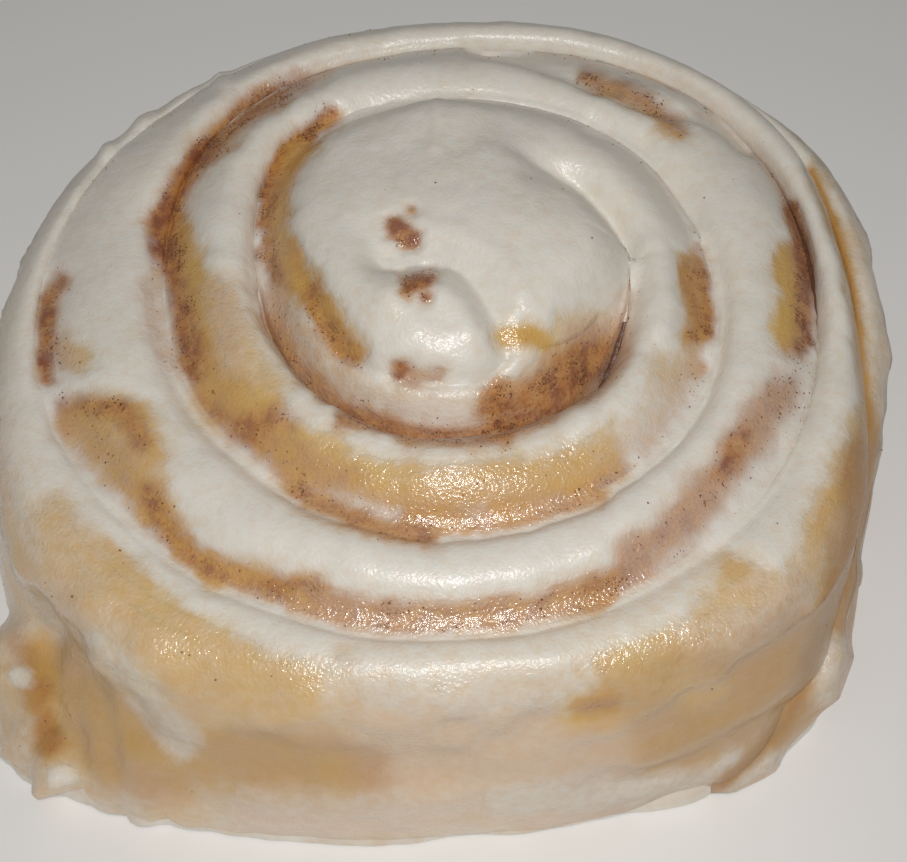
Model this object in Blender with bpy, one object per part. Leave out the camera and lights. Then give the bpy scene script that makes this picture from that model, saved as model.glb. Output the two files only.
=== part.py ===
"""A glazed cinnamon roll.

One long strip of dough is rolled up into a spiral, a ribbon of cinnamon filling lies between
its turns, and icing covers the domed top. Each turn stands a little lower than the one inside
it, so the top is a stepped dome with a deep crease between the turns.

Units are metres and +Z is up. The origin is on the underside, below the middle of the swirl.
A place along the strip is given in turns: it starts at the right (+X) and runs clockwise as
seen from above, so a quarter turn on is the front (-Y) and half a turn on is the left (-X).
"""
import math

import bmesh
import bpy
import numpy as np

MM = 0.001

# Mesh steps
STEPS_PER_TURN = 44
COIL_CELLS = 6
CORE_RINGS = 9

# Length of the crease and of the dough, in turns
CREASE_STEPS = 3 * STEPS_PER_TURN + 7
STRIP_STEPS = CREASE_STEPS + STEPS_PER_TURN
CREASE_TURNS = CREASE_STEPS / STEPS_PER_TURN
STRIP_TURNS = STRIP_STEPS / STEPS_PER_TURN

# Crease between the turns: its distance from the middle at each eighth of a turn
CREASE_WIDTH = 1.4 * MM
COIL_WIDTH = 10.0 * MM
CREASE_RADII = MM * np.array((
    20.0, 23.2, 25.0, 23.0, 23.4, 28.0, 26.4, 27.2,
    29.8, 32.6, 35.2, 34.0, 35.8, 39.9, 39.0, 40.9,
    42.2, 43.6, 45.8, 47.2, 49.4, 47.6, 46.2, 50.0,
    49.2, 52.5, 56.0,
))

# Height of each turn's crest at each quarter of a turn: the last lies past the end of the tail
CREST_HEIGHTS = MM * np.array((
    47.5, 47.5, 47.5, 47.0,
    44.0, 42.5, 42.0, 42.5,
    40.5, 39.0, 38.0, 38.0,
    36.6, 35.0, 32.8, 30.5,
    28.5, -11.0,
))

# Round shape of a turn, from its crest down into the creases beside it
CREST_SHARE = 0.28
INNER_DROP = 3.0 * MM
INNER_POWER = 2.5
LAST_TURN_DROP = 0.4
OUTER_DROP = 5.5 * MM
OUTER_POWER = 2.4
CORE_START_DROP = 4.0 * MM
CORE_WALL_DROP = 9.0 * MM
CORE_WALL_WIDTH = 6.0 * MM

# Middle of the swirl
CORE_HEIGHT = 49.3 * MM
CORE_RADIUS = 18.0 * MM
CORE_FALL = 2.4 * MM
CORE_WAIST = 3.0 * MM
FRONT_LOBE = (-6.5 * MM, -12.5 * MM, 6.5 * MM, 1.1 * MM)
RIGHT_LOBE = (8.0 * MM, -3.0 * MM, 8.0 * MM, 0.8 * MM)
FOLD_PATH = MM * np.array((
    (-10.5, -1.4), (-7.5, -4.6), (-3.0, -4.2), (0.6, -5.8), (3.2, -9.8), (5.1, -15.3),
))
FOLD_DEPTH = 3.2 * MM
FOLD_END_DEPTH = 1.0 * MM
FOLD_WIDTH = 1.9 * MM
VALLEY_START = 0.78
VALLEY_TWIST = 1.9
VALLEY_WIDTH = 2.4 * MM
UNWIND_START = 0.55

# Outer wall: distance from the middle at each sixteenth of a turn
BELLY_RADII = MM * np.array((
    54.6, 54.2, 56.4, 54.4, 53.6, 57.0, 60.0, 58.5,
    56.5, 56.0, 55.6, 52.8, 50.2, 52.6, 55.2, 55.4,
))
CORNER_TURN = 0.385
CORNER_SPREAD = 0.05
CORNER_BULGE = 7.5 * MM
CORNER_HEIGHT = 18.0 * MM
SHOULDER_INSET = 1.0 * MM
WALL_START = 0.1
SHOULDER_SHARE = 0.2
SHOULDER_ROUND = 0.98
FOOT_TUCK = 2.0 * MM
FOOT_SHARE = 0.4
WALL_LEVELS = (0.86, 0.64, 0.42, 0.24, 0.1)
TAIL_THICKNESS = 1.2 * MM

# Filling
FILLING_THICKNESS = 0.8 * MM
FILLING_FLOOR_GAP = 1.5 * MM
FILLING_DEPTH = 0.6 * MM

# Icing
ICING_GAP = 0.3 * MM
ICING_EDGE = 0.5 * MM
ICING_THICKNESS = 1.1 * MM
ICING_CREASE = 1.5 * MM
ICING_END = 3.9
SHOULDER_COVER = 0.5
# Stretches left bare on the outer side of a turn: where they start and end, in turns, and the
# share of the turn that is iced at the start and at the end
BARE_BANDS = (
    (0.04, 0.23, 0.15, 0.20),
    (0.39, 0.67, 0.30, 0.45),
    (0.96, 1.05, 0.55, 0.55),
    (1.11, 1.90, 0.14, 0.85),
    (1.96, 2.03, 0.55, 0.60),
    (2.07, 2.55, 0.60, 0.80),
    (2.96, 3.16, 0.90, 0.60),
)
BAND_EASE = 0.05
BAND_END_WIDTH = 0.12


def ramp(value, low, high):
    """Smooth step from 0 at low to 1 at high."""
    share = np.clip((value - low) / (high - low), 0.0, 1.0)
    return share * share * (3.0 - 2.0 * share)


def smooth_through(values, position):
    """Smooth curve through evenly spaced values, read at a position counted in steps."""
    last = len(values) - 1
    position = np.clip(position, 0.0, last)
    index = np.minimum(np.floor(position).astype(int), last - 1)
    share = position - index
    before = values[np.maximum(index - 1, 0)]
    here = values[index]
    there = values[index + 1]
    after = values[np.minimum(index + 2, last)]
    return 0.5 * (
        2.0 * here
        + (there - before) * share
        + (2.0 * before - 5.0 * here + 4.0 * there - after) * share ** 2
        + (3.0 * here - before - 3.0 * there + after) * share ** 3
    )


def belly_radius(turn):
    """Distance from the middle to the widest part of the outer wall: a rounded square."""
    radii = np.concatenate((BELLY_RADII[-1:], BELLY_RADII, BELLY_RADII[:2]))
    return smooth_through(radii, 16.0 * (turn % 1.0) + 1.0)


def crease_radius(turn):
    """Distance from the middle to the crease, which comes out at the outer wall at its end."""
    inside = smooth_through(CREASE_RADII, 8.0 * turn)
    outside = belly_radius(turn) + CREASE_WIDTH / 2.0
    share = ramp(turn, CREASE_TURNS - 0.13, CREASE_TURNS)
    return inside + (outside - inside) * share


def outer_radius(turn):
    """Distance to the free outer wall, past the end of the crease: it ends in a thin tail."""
    tail = crease_radius(turn - 1.0) + CREASE_WIDTH / 2.0 + TAIL_THICKNESS
    share = ramp(turn, STRIP_TURNS - 0.18, STRIP_TURNS)
    return belly_radius(turn) * (1.0 - share) + tail * share


def corner_bulge(turn, height):
    """How far the torn front left corner stands out near the floor."""
    place = (turn % 1.0 - CORNER_TURN) / CORNER_SPREAD
    rise = np.clip(1.0 - height / CORNER_HEIGHT, 0.0, 1.0)
    return CORNER_BULGE * np.exp(-place * place) * rise


def core_loop_radius(turn):
    """Radius of the middle disc, inside the first turn of the strip."""
    swing = np.sqrt(np.abs(np.sin(math.pi * np.clip(turn, 0.0, 1.0))))
    return CREASE_RADII[0] - CREASE_WIDTH / 2.0 - CORE_WAIST * swing


def inner_edge(turn):
    """Distance from the middle to the inner side of the strip."""
    if turn <= 1.0:
        return core_loop_radius(turn)
    return crease_radius(turn - 1.0) + CREASE_WIDTH / 2.0


def outer_edge(turn):
    """Distance from the middle to the outer side of the strip, at its top."""
    if turn <= CREASE_TURNS:
        return crease_radius(turn) - CREASE_WIDTH / 2.0
    return outer_radius(turn) - SHOULDER_INSET * ramp(turn, CREASE_TURNS, CREASE_TURNS + WALL_START)


def plan(turn, radius):
    """Position seen from above."""
    angle = 2.0 * math.pi * turn
    return radius * math.cos(angle), -radius * math.sin(angle)


def lobe(x, y, shape):
    """Soft round swelling: its middle, its reach and its height."""
    middle_x, middle_y, reach, height = shape
    distance = ((x - middle_x) ** 2 + (y - middle_y) ** 2) / reach ** 2
    return height * math.exp(-distance)


def fold_depth(x, y):
    """Depth of the S-shaped fold in the middle of the swirl."""
    depth = 0.0
    count = 24
    for step in range(count + 1):
        share = step / count
        place = share * (len(FOLD_PATH) - 1)
        fold_x = smooth_through(FOLD_PATH[:, 0], place)
        fold_y = smooth_through(FOLD_PATH[:, 1], place)
        distance = ((x - fold_x) ** 2 + (y - fold_y) ** 2) / FOLD_WIDTH ** 2
        local = FOLD_DEPTH + (FOLD_END_DEPTH - FOLD_DEPTH) * share
        depth = max(depth, local * math.exp(-distance))
    return depth


def core_height(x, y):
    """Height of the swirl's middle, before it falls away into the first crease."""
    fall = CORE_FALL * (x * x + y * y) / CORE_RADIUS ** 2
    swelling = lobe(x, y, FRONT_LOBE) + lobe(x, y, RIGHT_LOBE)
    return CORE_HEIGHT - fall + swelling - fold_depth(x, y)


def core_wall_drop(turn):
    """How far the first turn falls into its crease: most at the front, where it is a wall."""
    rise = (CORE_WALL_DROP - CORE_START_DROP) * ramp(turn, 0.0, 0.12)
    fall = (CORE_WALL_DROP - OUTER_DROP) * ramp(turn, 0.35, 0.7)
    return CORE_START_DROP + rise - fall


def valley_depth(turn, radius):
    """Depth of the soft valley that deepens, over the end of the first turn, into the crease."""
    middle = CREASE_RADII[0] * (1.0 - VALLEY_TWIST * (1.0 - turn))
    across = math.exp(-((radius - middle) / VALLEY_WIDTH) ** 2)
    return CORE_START_DROP * ramp(turn, VALLEY_START, 1.0) * across


def first_turn_height(turn, radius):
    """Upper surface of the middle disc and of the first turn, which unwinds from it."""
    x, y = plan(turn, radius)
    height = core_height(x, y)
    valley = CREASE_RADII[0] * (1.0 - VALLEY_TWIST * (1.0 - turn))
    outside = ramp(radius, valley - VALLEY_WIDTH, valley + 2.0 * VALLEY_WIDTH)
    unwound = ramp(turn, UNWIND_START, 1.0) * outside
    height += (smooth_through(CREST_HEIGHTS, 4.0 * turn) - height) * unwound
    height -= valley_depth(turn, radius)
    reach = max(CORE_WALL_WIDTH, ramp(turn, UNWIND_START, 1.0) * (1.0 - CREST_SHARE) * COIL_WIDTH)
    near = max(0.0, 1.0 - (outer_edge(turn) - radius) / reach)
    return height - core_wall_drop(turn) * near ** OUTER_POWER


def coil_height(turn, share):
    """Upper surface of a later turn, by its share of the way from the inner to the outer side."""
    crest = smooth_through(CREST_HEIGHTS, 4.0 * turn)
    if share < CREST_SHARE:
        depth = (1.0 - share / CREST_SHARE) ** INNER_POWER
        last_turn = ramp(turn, STRIP_TURNS - 1.3, STRIP_TURNS - 1.1)
        lip = INNER_DROP * (1.0 - (1.0 - LAST_TURN_DROP) * last_turn)
        return crest - lip * crest / CREST_HEIGHTS[4] * depth
    reach = (share - CREST_SHARE) / (1.0 - CREST_SHARE)
    crease_side = OUTER_DROP * reach ** OUTER_POWER
    wall_side = 1.0 - math.sqrt(1.0 - (SHOULDER_ROUND * reach) ** 2)
    free = ramp(turn, CREASE_TURNS - 0.04, CREASE_TURNS)
    return crest - crease_side * (1.0 - free) - SHOULDER_SHARE * crest * wall_side * free


def top_point(turn, share):
    """Point of the strip's upper surface."""
    inner = inner_edge(turn)
    radius = inner + (outer_edge(turn) - inner) * share
    if turn <= 1.0:
        height = first_turn_height(turn, radius)
    else:
        height = coil_height(turn, share)
    x, y = plan(turn, radius)
    return x, y, height


def iced_share(turn):
    """Share of a turn's width that is under icing, counted from its inner side."""
    for start, end, first, last in BARE_BANDS:
        if start <= turn <= end:
            iced = first + (last - first) * ((turn - start) / (end - start)) ** 2
            ease = min(1.0, (turn - start) / BAND_EASE, (end - turn) / BAND_EASE)
            return 1.0 - (1.0 - iced) * max(ease, BAND_END_WIDTH)
    if turn > CREASE_TURNS:
        return SHOULDER_COVER
    return 1.0


def is_bare(step):
    """Whether the outer side of the turn is bare between this step and the next."""
    middle = (step + 0.5) / STEPS_PER_TURN
    return iced_share(middle) < 1.0


def share_lines(turn):
    """Shares at which the mesh lines run along the strip: one line follows the icing's edge."""
    iced = iced_share(turn)
    half = COIL_CELLS // 2
    if iced >= 1.0:
        return [line / COIL_CELLS for line in range(COIL_CELLS + 1)]
    inside = [iced * line / half for line in range(half + 1)]
    outside = [iced + (1.0 - iced) * line / half for line in range(1, half + 1)]
    return inside + outside


class Swirl:
    """Points and cells of the upper surface: the middle disc and the strip round it."""

    def __init__(self):
        self.points = []
        self.core = self.make_core()
        self.strip = self.make_strip()

    def add(self, point):
        self.points.append(point)
        return len(self.points) - 1

    def make_core(self):
        middle = self.add((0.0, 0.0, core_height(0.0, 0.0)))
        rings = [[middle] * STEPS_PER_TURN]
        for ring in range(1, CORE_RINGS + 1):
            row = []
            for step in range(STEPS_PER_TURN):
                turn = step / STEPS_PER_TURN
                radius = core_loop_radius(turn) * ring / CORE_RINGS
                x, y = plan(turn, radius)
                row.append(self.add((x, y, first_turn_height(turn, radius))))
            rings.append(row)
        return rings

    def make_strip(self):
        loop = self.core[-1]
        rows = [[loop[0]] * (COIL_CELLS + 1)]
        for step in range(1, STRIP_STEPS + 1):
            turn = step / STEPS_PER_TURN
            row = [self.add(top_point(turn, share)) for share in share_lines(turn)[1:]]
            if step <= STEPS_PER_TURN:
                first = loop[step % STEPS_PER_TURN]
            else:
                first = self.add(top_point(turn, 0.0))
            rows.append([first] + row)
        return rows

    def core_cells(self):
        for ring in range(CORE_RINGS):
            for step in range(STEPS_PER_TURN):
                after = (step + 1) % STEPS_PER_TURN
                inner, outer = self.core[ring], self.core[ring + 1]
                yield inner[step], inner[after], outer[after], outer[step]

    def strip_cell(self, step, cell):
        here, there = self.strip[step], self.strip[step + 1]
        return here[cell], there[cell], there[cell + 1], here[cell + 1]

    def crease_cell(self, step):
        """Cell that spans the crease, from one turn to the turn outside it."""
        outside = step + STEPS_PER_TURN
        return (self.strip[step][-1], self.strip[step + 1][-1],
                self.strip[outside + 1][0], self.strip[outside][0])


def add_face(mesh, corners):
    """Face through the given vertices, where neighbours that are the same count once."""
    ring = []
    for corner in corners:
        if corner not in ring:
            ring.append(corner)
    if len(ring) > 2:
        mesh.faces.new(ring)


def add_object(name, mesh, material):
    """Triangulate a mesh, turn its faces outwards and put it in the scene."""
    bmesh.ops.triangulate(mesh, faces=mesh.faces[:], quad_method="FIXED", ngon_method="EAR_CLIP")
    bmesh.ops.recalc_face_normals(mesh, faces=mesh.faces[:])
    data = bpy.data.meshes.new(name)
    mesh.to_mesh(data)
    mesh.free()
    data.materials.append(material)
    data.shade_smooth()
    data.set_sharp_from_angle(angle=math.radians(50.0))
    result = bpy.data.objects.new(name, data)
    bpy.context.scene.collection.objects.link(result)
    return result


def make_material(name, colour, roughness):
    material = bpy.data.materials.new(name)
    material.use_nodes = True
    shader = material.node_tree.nodes["Principled BSDF"]
    shader.inputs["Base Color"].default_value = (*colour, 1.0)
    shader.inputs["Roughness"].default_value = roughness
    shader.inputs["Metallic"].default_value = 0.0
    return material


def wall_column(mesh, turn, top, free):
    """Vertices from the upper edge down to the floor. A free column follows the round wall."""
    height = top.co.z
    column = [top]
    if not free:
        column.append(mesh.verts.new((top.co.x, top.co.y, 0.0)))
        return column
    thickness = outer_edge(turn) - inner_edge(turn)
    tuck_limit = min(FOOT_TUCK, 0.3 * thickness)
    round_share = ramp(turn, CREASE_TURNS, CREASE_TURNS + WALL_START)
    foot_share = ramp(turn, CREASE_TURNS - WALL_START, CREASE_TURNS + WALL_START)
    for level in WALL_LEVELS + (0.0,):
        belly = SHOULDER_INSET * round_share * (1.0 - ramp(level, FOOT_SHARE, 1.0))
        foot = tuck_limit * foot_share * max(0.0, 1.0 - level / FOOT_SHARE) ** 2
        radius = outer_edge(turn) + belly - foot + corner_bulge(turn, level * height)
        x, y = plan(turn, radius)
        column.append(mesh.verts.new((x, y, level * height)))
    return column


def make_dough(swirl, material):
    """The rolled strip, closed by walls along both its sides and a flat underside."""
    mesh = bmesh.new()
    verts = [mesh.verts.new(point) for point in swirl.points]
    for cell in swirl.core_cells():
        add_face(mesh, [verts[index] for index in cell])
    for step in range(STRIP_STEPS):
        for cell in range(COIL_CELLS):
            add_face(mesh, [verts[index] for index in swirl.strip_cell(step, cell)])

    outer = []
    inner = {}
    for step in range(STRIP_STEPS + 1):
        turn = step / STEPS_PER_TURN
        outer_top = verts[swirl.strip[step][-1]]
        outer.append(wall_column(mesh, turn, outer_top, turn > CREASE_TURNS - WALL_START))
        if step > STEPS_PER_TURN:
            inner[step] = wall_column(mesh, turn, verts[swirl.strip[step][0]], False)
    inner[STEPS_PER_TURN] = outer[0]

    for step in range(STRIP_STEPS):
        add_wall(mesh, outer[step], outer[step + 1])
    for step in range(STEPS_PER_TURN, STRIP_STEPS):
        add_wall(mesh, inner[step + 1], inner[step])
    tail_top = [verts[index] for index in reversed(swirl.strip[-1])]
    add_face(mesh, tail_top + inner[STRIP_STEPS][1:] + outer[-1][:0:-1])

    middle = mesh.verts.new((0.0, 0.0, 0.0))
    loop = [outer[0][-1]]
    for step in range(1, STEPS_PER_TURN):
        top = swirl.points[swirl.core[-1][step]]
        loop.append(mesh.verts.new((top[0], top[1], 0.0)))
    for step in range(STEPS_PER_TURN):
        after = (step + 1) % STEPS_PER_TURN
        add_face(mesh, (middle, loop[step], loop[after]))
        add_face(mesh, (loop[step], outer[step][-1], outer[step + 1][-1], loop[after]))
    for step in range(STEPS_PER_TURN, STRIP_STEPS):
        here, there = inner[step][-1], inner[step + 1][-1]
        add_face(mesh, (here, outer[step][-1], outer[step + 1][-1], there))
    return add_object("dough", mesh, material)


def add_wall(mesh, here, there):
    """Wall between two columns, with a face at each level where both have the same levels."""
    if len(here) == len(there):
        for level in range(len(here) - 1):
            add_face(mesh, (here[level], there[level], there[level + 1], here[level + 1]))
    else:
        add_face(mesh, [here[0]] + there + here[:0:-1])


def make_filling(swirl, material):
    """Ribbon of cinnamon filling that stands in the crease and follows it all the way."""
    mesh = bmesh.new()
    sections = []
    for step in range(1, CREASE_STEPS):
        turn = step / STEPS_PER_TURN
        inside = swirl.points[swirl.strip[step][-1]][2]
        outside = swirl.points[swirl.strip[step + STEPS_PER_TURN][0]][2]
        top = min(inside, outside) - FILLING_DEPTH
        section = []
        for side, height in ((-1, FILLING_FLOOR_GAP), (1, FILLING_FLOOR_GAP), (1, top), (-1, top)):
            x, y = plan(turn, crease_radius(turn) + side * FILLING_THICKNESS / 2.0)
            section.append(mesh.verts.new((x, y, height)))
        sections.append(section)
    for here, there in zip(sections, sections[1:]):
        for corner in range(4):
            after = (corner + 1) % 4
            add_face(mesh, (here[corner], there[corner], there[after], here[after]))
    add_face(mesh, sections[0])
    add_face(mesh, sections[-1][::-1])
    return add_object("cinnamon_filling", mesh, material)


def iced_cells(swirl):
    """Cells of the upper surface that carry icing, with those that bridge a full crease."""
    cells = list(swirl.core_cells())
    for step in range(STRIP_STEPS):
        if step / STEPS_PER_TURN > ICING_END:
            break
        width = COIL_CELLS // 2 if is_bare(step) else COIL_CELLS
        for cell in range(width):
            cells.append(swirl.strip_cell(step, cell))
        reaches_next = (step + 1 + STEPS_PER_TURN) / STEPS_PER_TURN <= ICING_END
        if width == COIL_CELLS and 0 < step < CREASE_STEPS and reaches_next:
            cells.append(swirl.crease_cell(step))
    return cells


def vertical_gaps(swirl, cells):
    """Upward gap over each point that leaves the icing its true gap on sloping dough."""
    steepest = {}
    for cell in cells:
        corners = [swirl.points[index] for index in dict.fromkeys(cell)]
        for first, second in zip(corners, corners[1:] + corners[:1]):
            run = math.hypot(second[0] - first[0], second[1] - first[1])
            slope = abs(second[2] - first[2]) / max(run, 0.1 * MM)
            for index in cell:
                steepest[index] = max(steepest.get(index, 0.0), slope)
    return {index: ICING_GAP * min(math.hypot(1.0, slope), 3.0) for index, slope in steepest.items()}


def make_icing(swirl, material):
    """One sheet of icing that follows the dough, thicker over the creases, thin at its edges."""
    cells = iced_cells(swirl)
    uses = {}
    for cell in cells:
        corners = list(dict.fromkeys(cell))
        for pair in zip(corners, corners[1:] + corners[:1]):
            uses[frozenset(pair)] = uses.get(frozenset(pair), 0) + 1
    rim = {pair for pair, count in uses.items() if count == 1}
    rim_points = set().union(*rim)
    crease_points = {index for step in range(1, CREASE_STEPS) for index in swirl.crease_cell(step)}

    mesh = bmesh.new()
    lower, upper = {}, {}
    for index, gap in vertical_gaps(swirl, cells).items():
        x, y, z = swirl.points[index]
        thickness = ICING_CREASE if index in crease_points else ICING_THICKNESS
        if index in rim_points:
            thickness = ICING_EDGE
        lower[index] = mesh.verts.new((x, y, z + gap))
        upper[index] = mesh.verts.new((x, y, z + gap + thickness))
    for cell in cells:
        corners = list(dict.fromkeys(cell))
        add_face(mesh, [upper[index] for index in corners])
        add_face(mesh, [lower[index] for index in corners[:1] + corners[:0:-1]])
        for first, second in zip(corners, corners[1:] + corners[:1]):
            if frozenset((first, second)) in rim:
                add_face(mesh, (lower[first], lower[second], upper[second], upper[first]))
    return add_object("icing", mesh, material)


def main():
    for item in list(bpy.data.objects):
        bpy.data.objects.remove(item, do_unlink=True)
    swirl = Swirl()
    make_dough(swirl, make_material("baked_dough", (0.72, 0.46, 0.20), 0.45))
    make_filling(swirl, make_material("cinnamon_paste", (0.16, 0.06, 0.025), 0.4))
    make_icing(swirl, make_material("sugar_icing", (0.80, 0.76, 0.70), 0.3))


main()
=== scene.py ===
"""Looks of a glazed cinnamon roll: dough, cinnamon filling, icing, glaze and cinnamon grains.

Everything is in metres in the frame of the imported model: +Z up, the underside on the floor and
the middle of the swirl over the origin. A place along the rolled strip is given in turns, which
start at the right (+X) and run clockwise as seen from above.
"""

import itertools
import math

import bmesh
import bpy
import numpy as np
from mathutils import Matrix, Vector


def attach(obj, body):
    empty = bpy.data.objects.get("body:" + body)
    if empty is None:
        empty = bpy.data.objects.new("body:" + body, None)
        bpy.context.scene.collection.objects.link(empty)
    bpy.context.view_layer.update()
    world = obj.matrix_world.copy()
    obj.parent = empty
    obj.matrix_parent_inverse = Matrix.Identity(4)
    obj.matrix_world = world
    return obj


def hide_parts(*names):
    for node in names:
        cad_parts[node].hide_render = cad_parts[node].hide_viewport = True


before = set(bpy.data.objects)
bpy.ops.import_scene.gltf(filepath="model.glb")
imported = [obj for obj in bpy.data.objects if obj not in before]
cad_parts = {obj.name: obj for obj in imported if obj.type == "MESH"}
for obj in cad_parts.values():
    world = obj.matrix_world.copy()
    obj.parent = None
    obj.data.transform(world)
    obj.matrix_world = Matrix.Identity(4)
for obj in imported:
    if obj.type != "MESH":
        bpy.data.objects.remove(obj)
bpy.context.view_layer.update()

MM = 0.001
# Steps of the tables in a turn
QUARTERS, EIGHTHS, SIXTEENTHS = 4.0, 8.0, 16.0

# Mesh steps
STEPS = 396
COIL_CELLS = 16
CORE_RINGS = 44
CREASE_CELLS = 4
WALL_CELLS = 46
COIL_CROWDING = 0.08

# Length of the crease and of the strip
CREASE_STEPS = 1251
STRIP_STEPS = CREASE_STEPS + STEPS
CREASE_TURNS = CREASE_STEPS / STEPS
STRIP_TURNS = STRIP_STEPS / STEPS

# Swirl: distance of the crease from the middle at each eighth of a turn
CREASE_WIDTH = 1.0 * MM
CREASE_BOTTOM = 2.2 * MM
CREASE_OPENS = 0.05
CREASE_DEEPENS = 0.06
CREASE_RUNOUT = 0.13
COIL_WIDTH = 10.0 * MM
CREASE_RADII = MM * np.array((
    20.0, 20.9, 24.2, 23.0, 23.4, 28.0, 26.4, 28.4,
    29.5, 33.0, 35.2, 34.0, 34.3, 39.2, 39.8, 44.0,
    42.2, 43.8, 45.8, 47.2, 49.4, 47.8, 46.9, 50.2,
    47.8, 53.4, 56.0,
))
# Height of each turn's crest at each quarter of a turn
CREST_HEIGHTS = MM * np.array((
    47.5, 47.5, 47.5, 47.0,
    44.0, 42.5, 42.0, 42.8,
    40.5, 39.0, 38.0, 38.9,
    36.6, 35.0, 33.8, 32.3,
    28.5, -5.0,
))
CREST_SHARE = 0.28
INNER_DROP = 3.0 * MM
INNER_POWER = 2.5
LAST_TURN_DROP = 0.4
LAST_TURN = (CREASE_TURNS - 0.3, CREASE_TURNS - 0.1)
FREE_EDGE = (CREASE_TURNS - 0.04, CREASE_TURNS)
OUTER_DROP = 5.5 * MM
OUTER_POWER = 2.4
# At the back the turns are flatter on both sides, and the last one leans outwards
BACK_TURN = 0.68
BACK_REACH = (-0.1, 0.8)
BACK_POWER = 1.4
BACK_INNER_DROP = 0.5
BACK_OUTER_DROP = 0.6
BACK_OUTER_TURNS = (2.0, 2.2)
BACK_TILT = 6.0 * MM
BACK_TILT_SHARE = 0.3
# Steep wall where the middle stands above the next turn: drop, width and curve as it opens
CORE_START_DROP = 4.0 * MM
CORE_WALL_DROP = 9.0 * MM
CORE_WALL_WIDTHS = (6.0 * MM, 8.5 * MM)
CORE_WALL_POWERS = (2.4, 2.0)
CORE_WALL_DEEPENS = (0.0, 0.12)
CORE_WALL_OPENS = (0.0, 0.1)
CORE_WALL_FADES = (0.35, 0.7)

# Middle of the swirl
CORE_HEIGHT = 49.3 * MM
CORE_RADIUS = 18.0 * MM
CORE_FALL = 2.4 * MM
CORE_WAIST = 3.0 * MM
# Lobes: place in millimetres, reach and rise
LOBES = ((-6.5, -12.5, 6.5, 1.1), (8.0, -3.0, 8.0, 0.8), (-1.0, 18.0, 7.0, 1.5))
FOLD_PATH = MM * np.array((
    (-9.8, -2.8), (-7.8, -5.8), (-3.1, -5.3), (0.8, -7.4), (3.2, -11.8), (4.6, -15.5),
))
FOLD_DEPTH = 2.6 * MM
FOLD_END_DEPTH = 1.0 * MM
FOLD_START = (-0.15, 0.3)
FOLD_SAMPLES = 49
FOLD_WIDTH = 2.1 * MM
FOLD_BACK_SHARE = 1.0
VALLEY_START = 0.78
VALLEY_TWIST = 1.9
VALLEY_WIDTH = 2.4 * MM
UNWIND_START = 0.55
# Past its first turn the strip takes up its own height, beside an opening next to the middle
SETTLE_TURNS = 0.16
OPENING_TURN = 1.12
OPENING_SPREAD = 0.055
OPENING_DROP = 6.0 * MM
OPENING_SHARE = 0.45
OPENING_POWER = 1.5

# Outer wall: distance from the middle at each sixteenth of a turn
BELLY_RADII = MM * np.array((
    53.3, 53.4, 56.2, 54.4, 53.6, 57.0, 60.0, 58.5,
    56.8, 56.8, 55.8, 52.8, 50.4, 52.8, 55.0, 54.8,
))
CORNER_TURN = 0.385
CORNER_SPREAD = 0.05
CORNER_BULGE = 7.5 * MM
CORNER_HEIGHT = 18.0 * MM
SHOULDER_INSET = 1.0 * MM
WALL_START = 0.1
WALL_BEGINS = (CREASE_TURNS - 0.02, CREASE_TURNS + 0.05)
WALL_STEP = round((CREASE_TURNS - WALL_START) * STEPS)
SHOULDER_SHARE = 0.2
SHOULDER_ROUND = 0.98
FOOT_TUCK = 2.0 * MM
FOOT_SHARE = 0.4
FOOT_LIMIT = 0.3
TAIL_TURNS = 0.18
TAIL_TIP_TURNS = 0.05
TAIL_LIP = 1.8 * MM
TAIL_SINK = 2.7 * MM
TAIL_HUG = 3.0 * MM

# Camera, which stands where the photograph was taken from
ELEVATION = math.radians(53.0)
TARGET = np.array((-0.5, -11.0, 24.0)) * MM
DISTANCE = 0.25
PHOTO_SIZE = (907, 862)
PIXELS_PER_MM = 8.43
FOCAL_PIXELS = DISTANCE / MM * PIXELS_PER_MM
SENSOR_WIDTH = 36.0
NEAREST_SEEN = 0.01

# Icing: it shows as a body of its own where it is thicker than a film
FILM = 0.3 * MM
ICING_RISE = 0.7
ICING_UNDER = 0.45 * MM
ICING_BLUR = 2.3 * MM
BLUR_STEP = 0.25 * MM
BLUR_STEPS = 28
BLUR_REACH = 64.0 * MM
BRIDGE_RISE = 0.15 * MM
BRIDGE_SHARE = (0.5, 1.0)
FREE_BRIDGE_TURNS = (CREASE_TURNS, CREASE_TURNS + 0.05)
FREE_BRIDGE_SHARE = (0.3, 0.6)
LEAST_RISE = 0.07 * MM
BARE_SINK = 0.1 * MM
ICING_LOWEST = 1.5 * MM
DEFAULT_ICING = 0.95
WALL_ICING = 0.22
WALL_ICING_SHARE = (0.45, 1.05)
# Where icing is scarce, in turns and shares of the way across, and how much of it is missing
BESIDE_TAIL_TURNS = ((2.92, 3.02), (3.18, 3.24))
BESIDE_TAIL_SHARE = (0.6, 0.9)
STRIP_END_TURNS = (3.9, 4.0)
THINNER_TURNS = (3.35, 3.5)
THINNER_SHARE = (0.1, 0.6)
SCARCE_LOSS = 0.85
THINNER_LOSS = 0.5
# Sides along an open crease: share where icing starts to thin, where it is thinnest, its loss
OUTER_SIDE = (0.72, 1.0, 0.85)
INNER_SIDE = (0.86, 1.0, 0.5)
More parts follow.
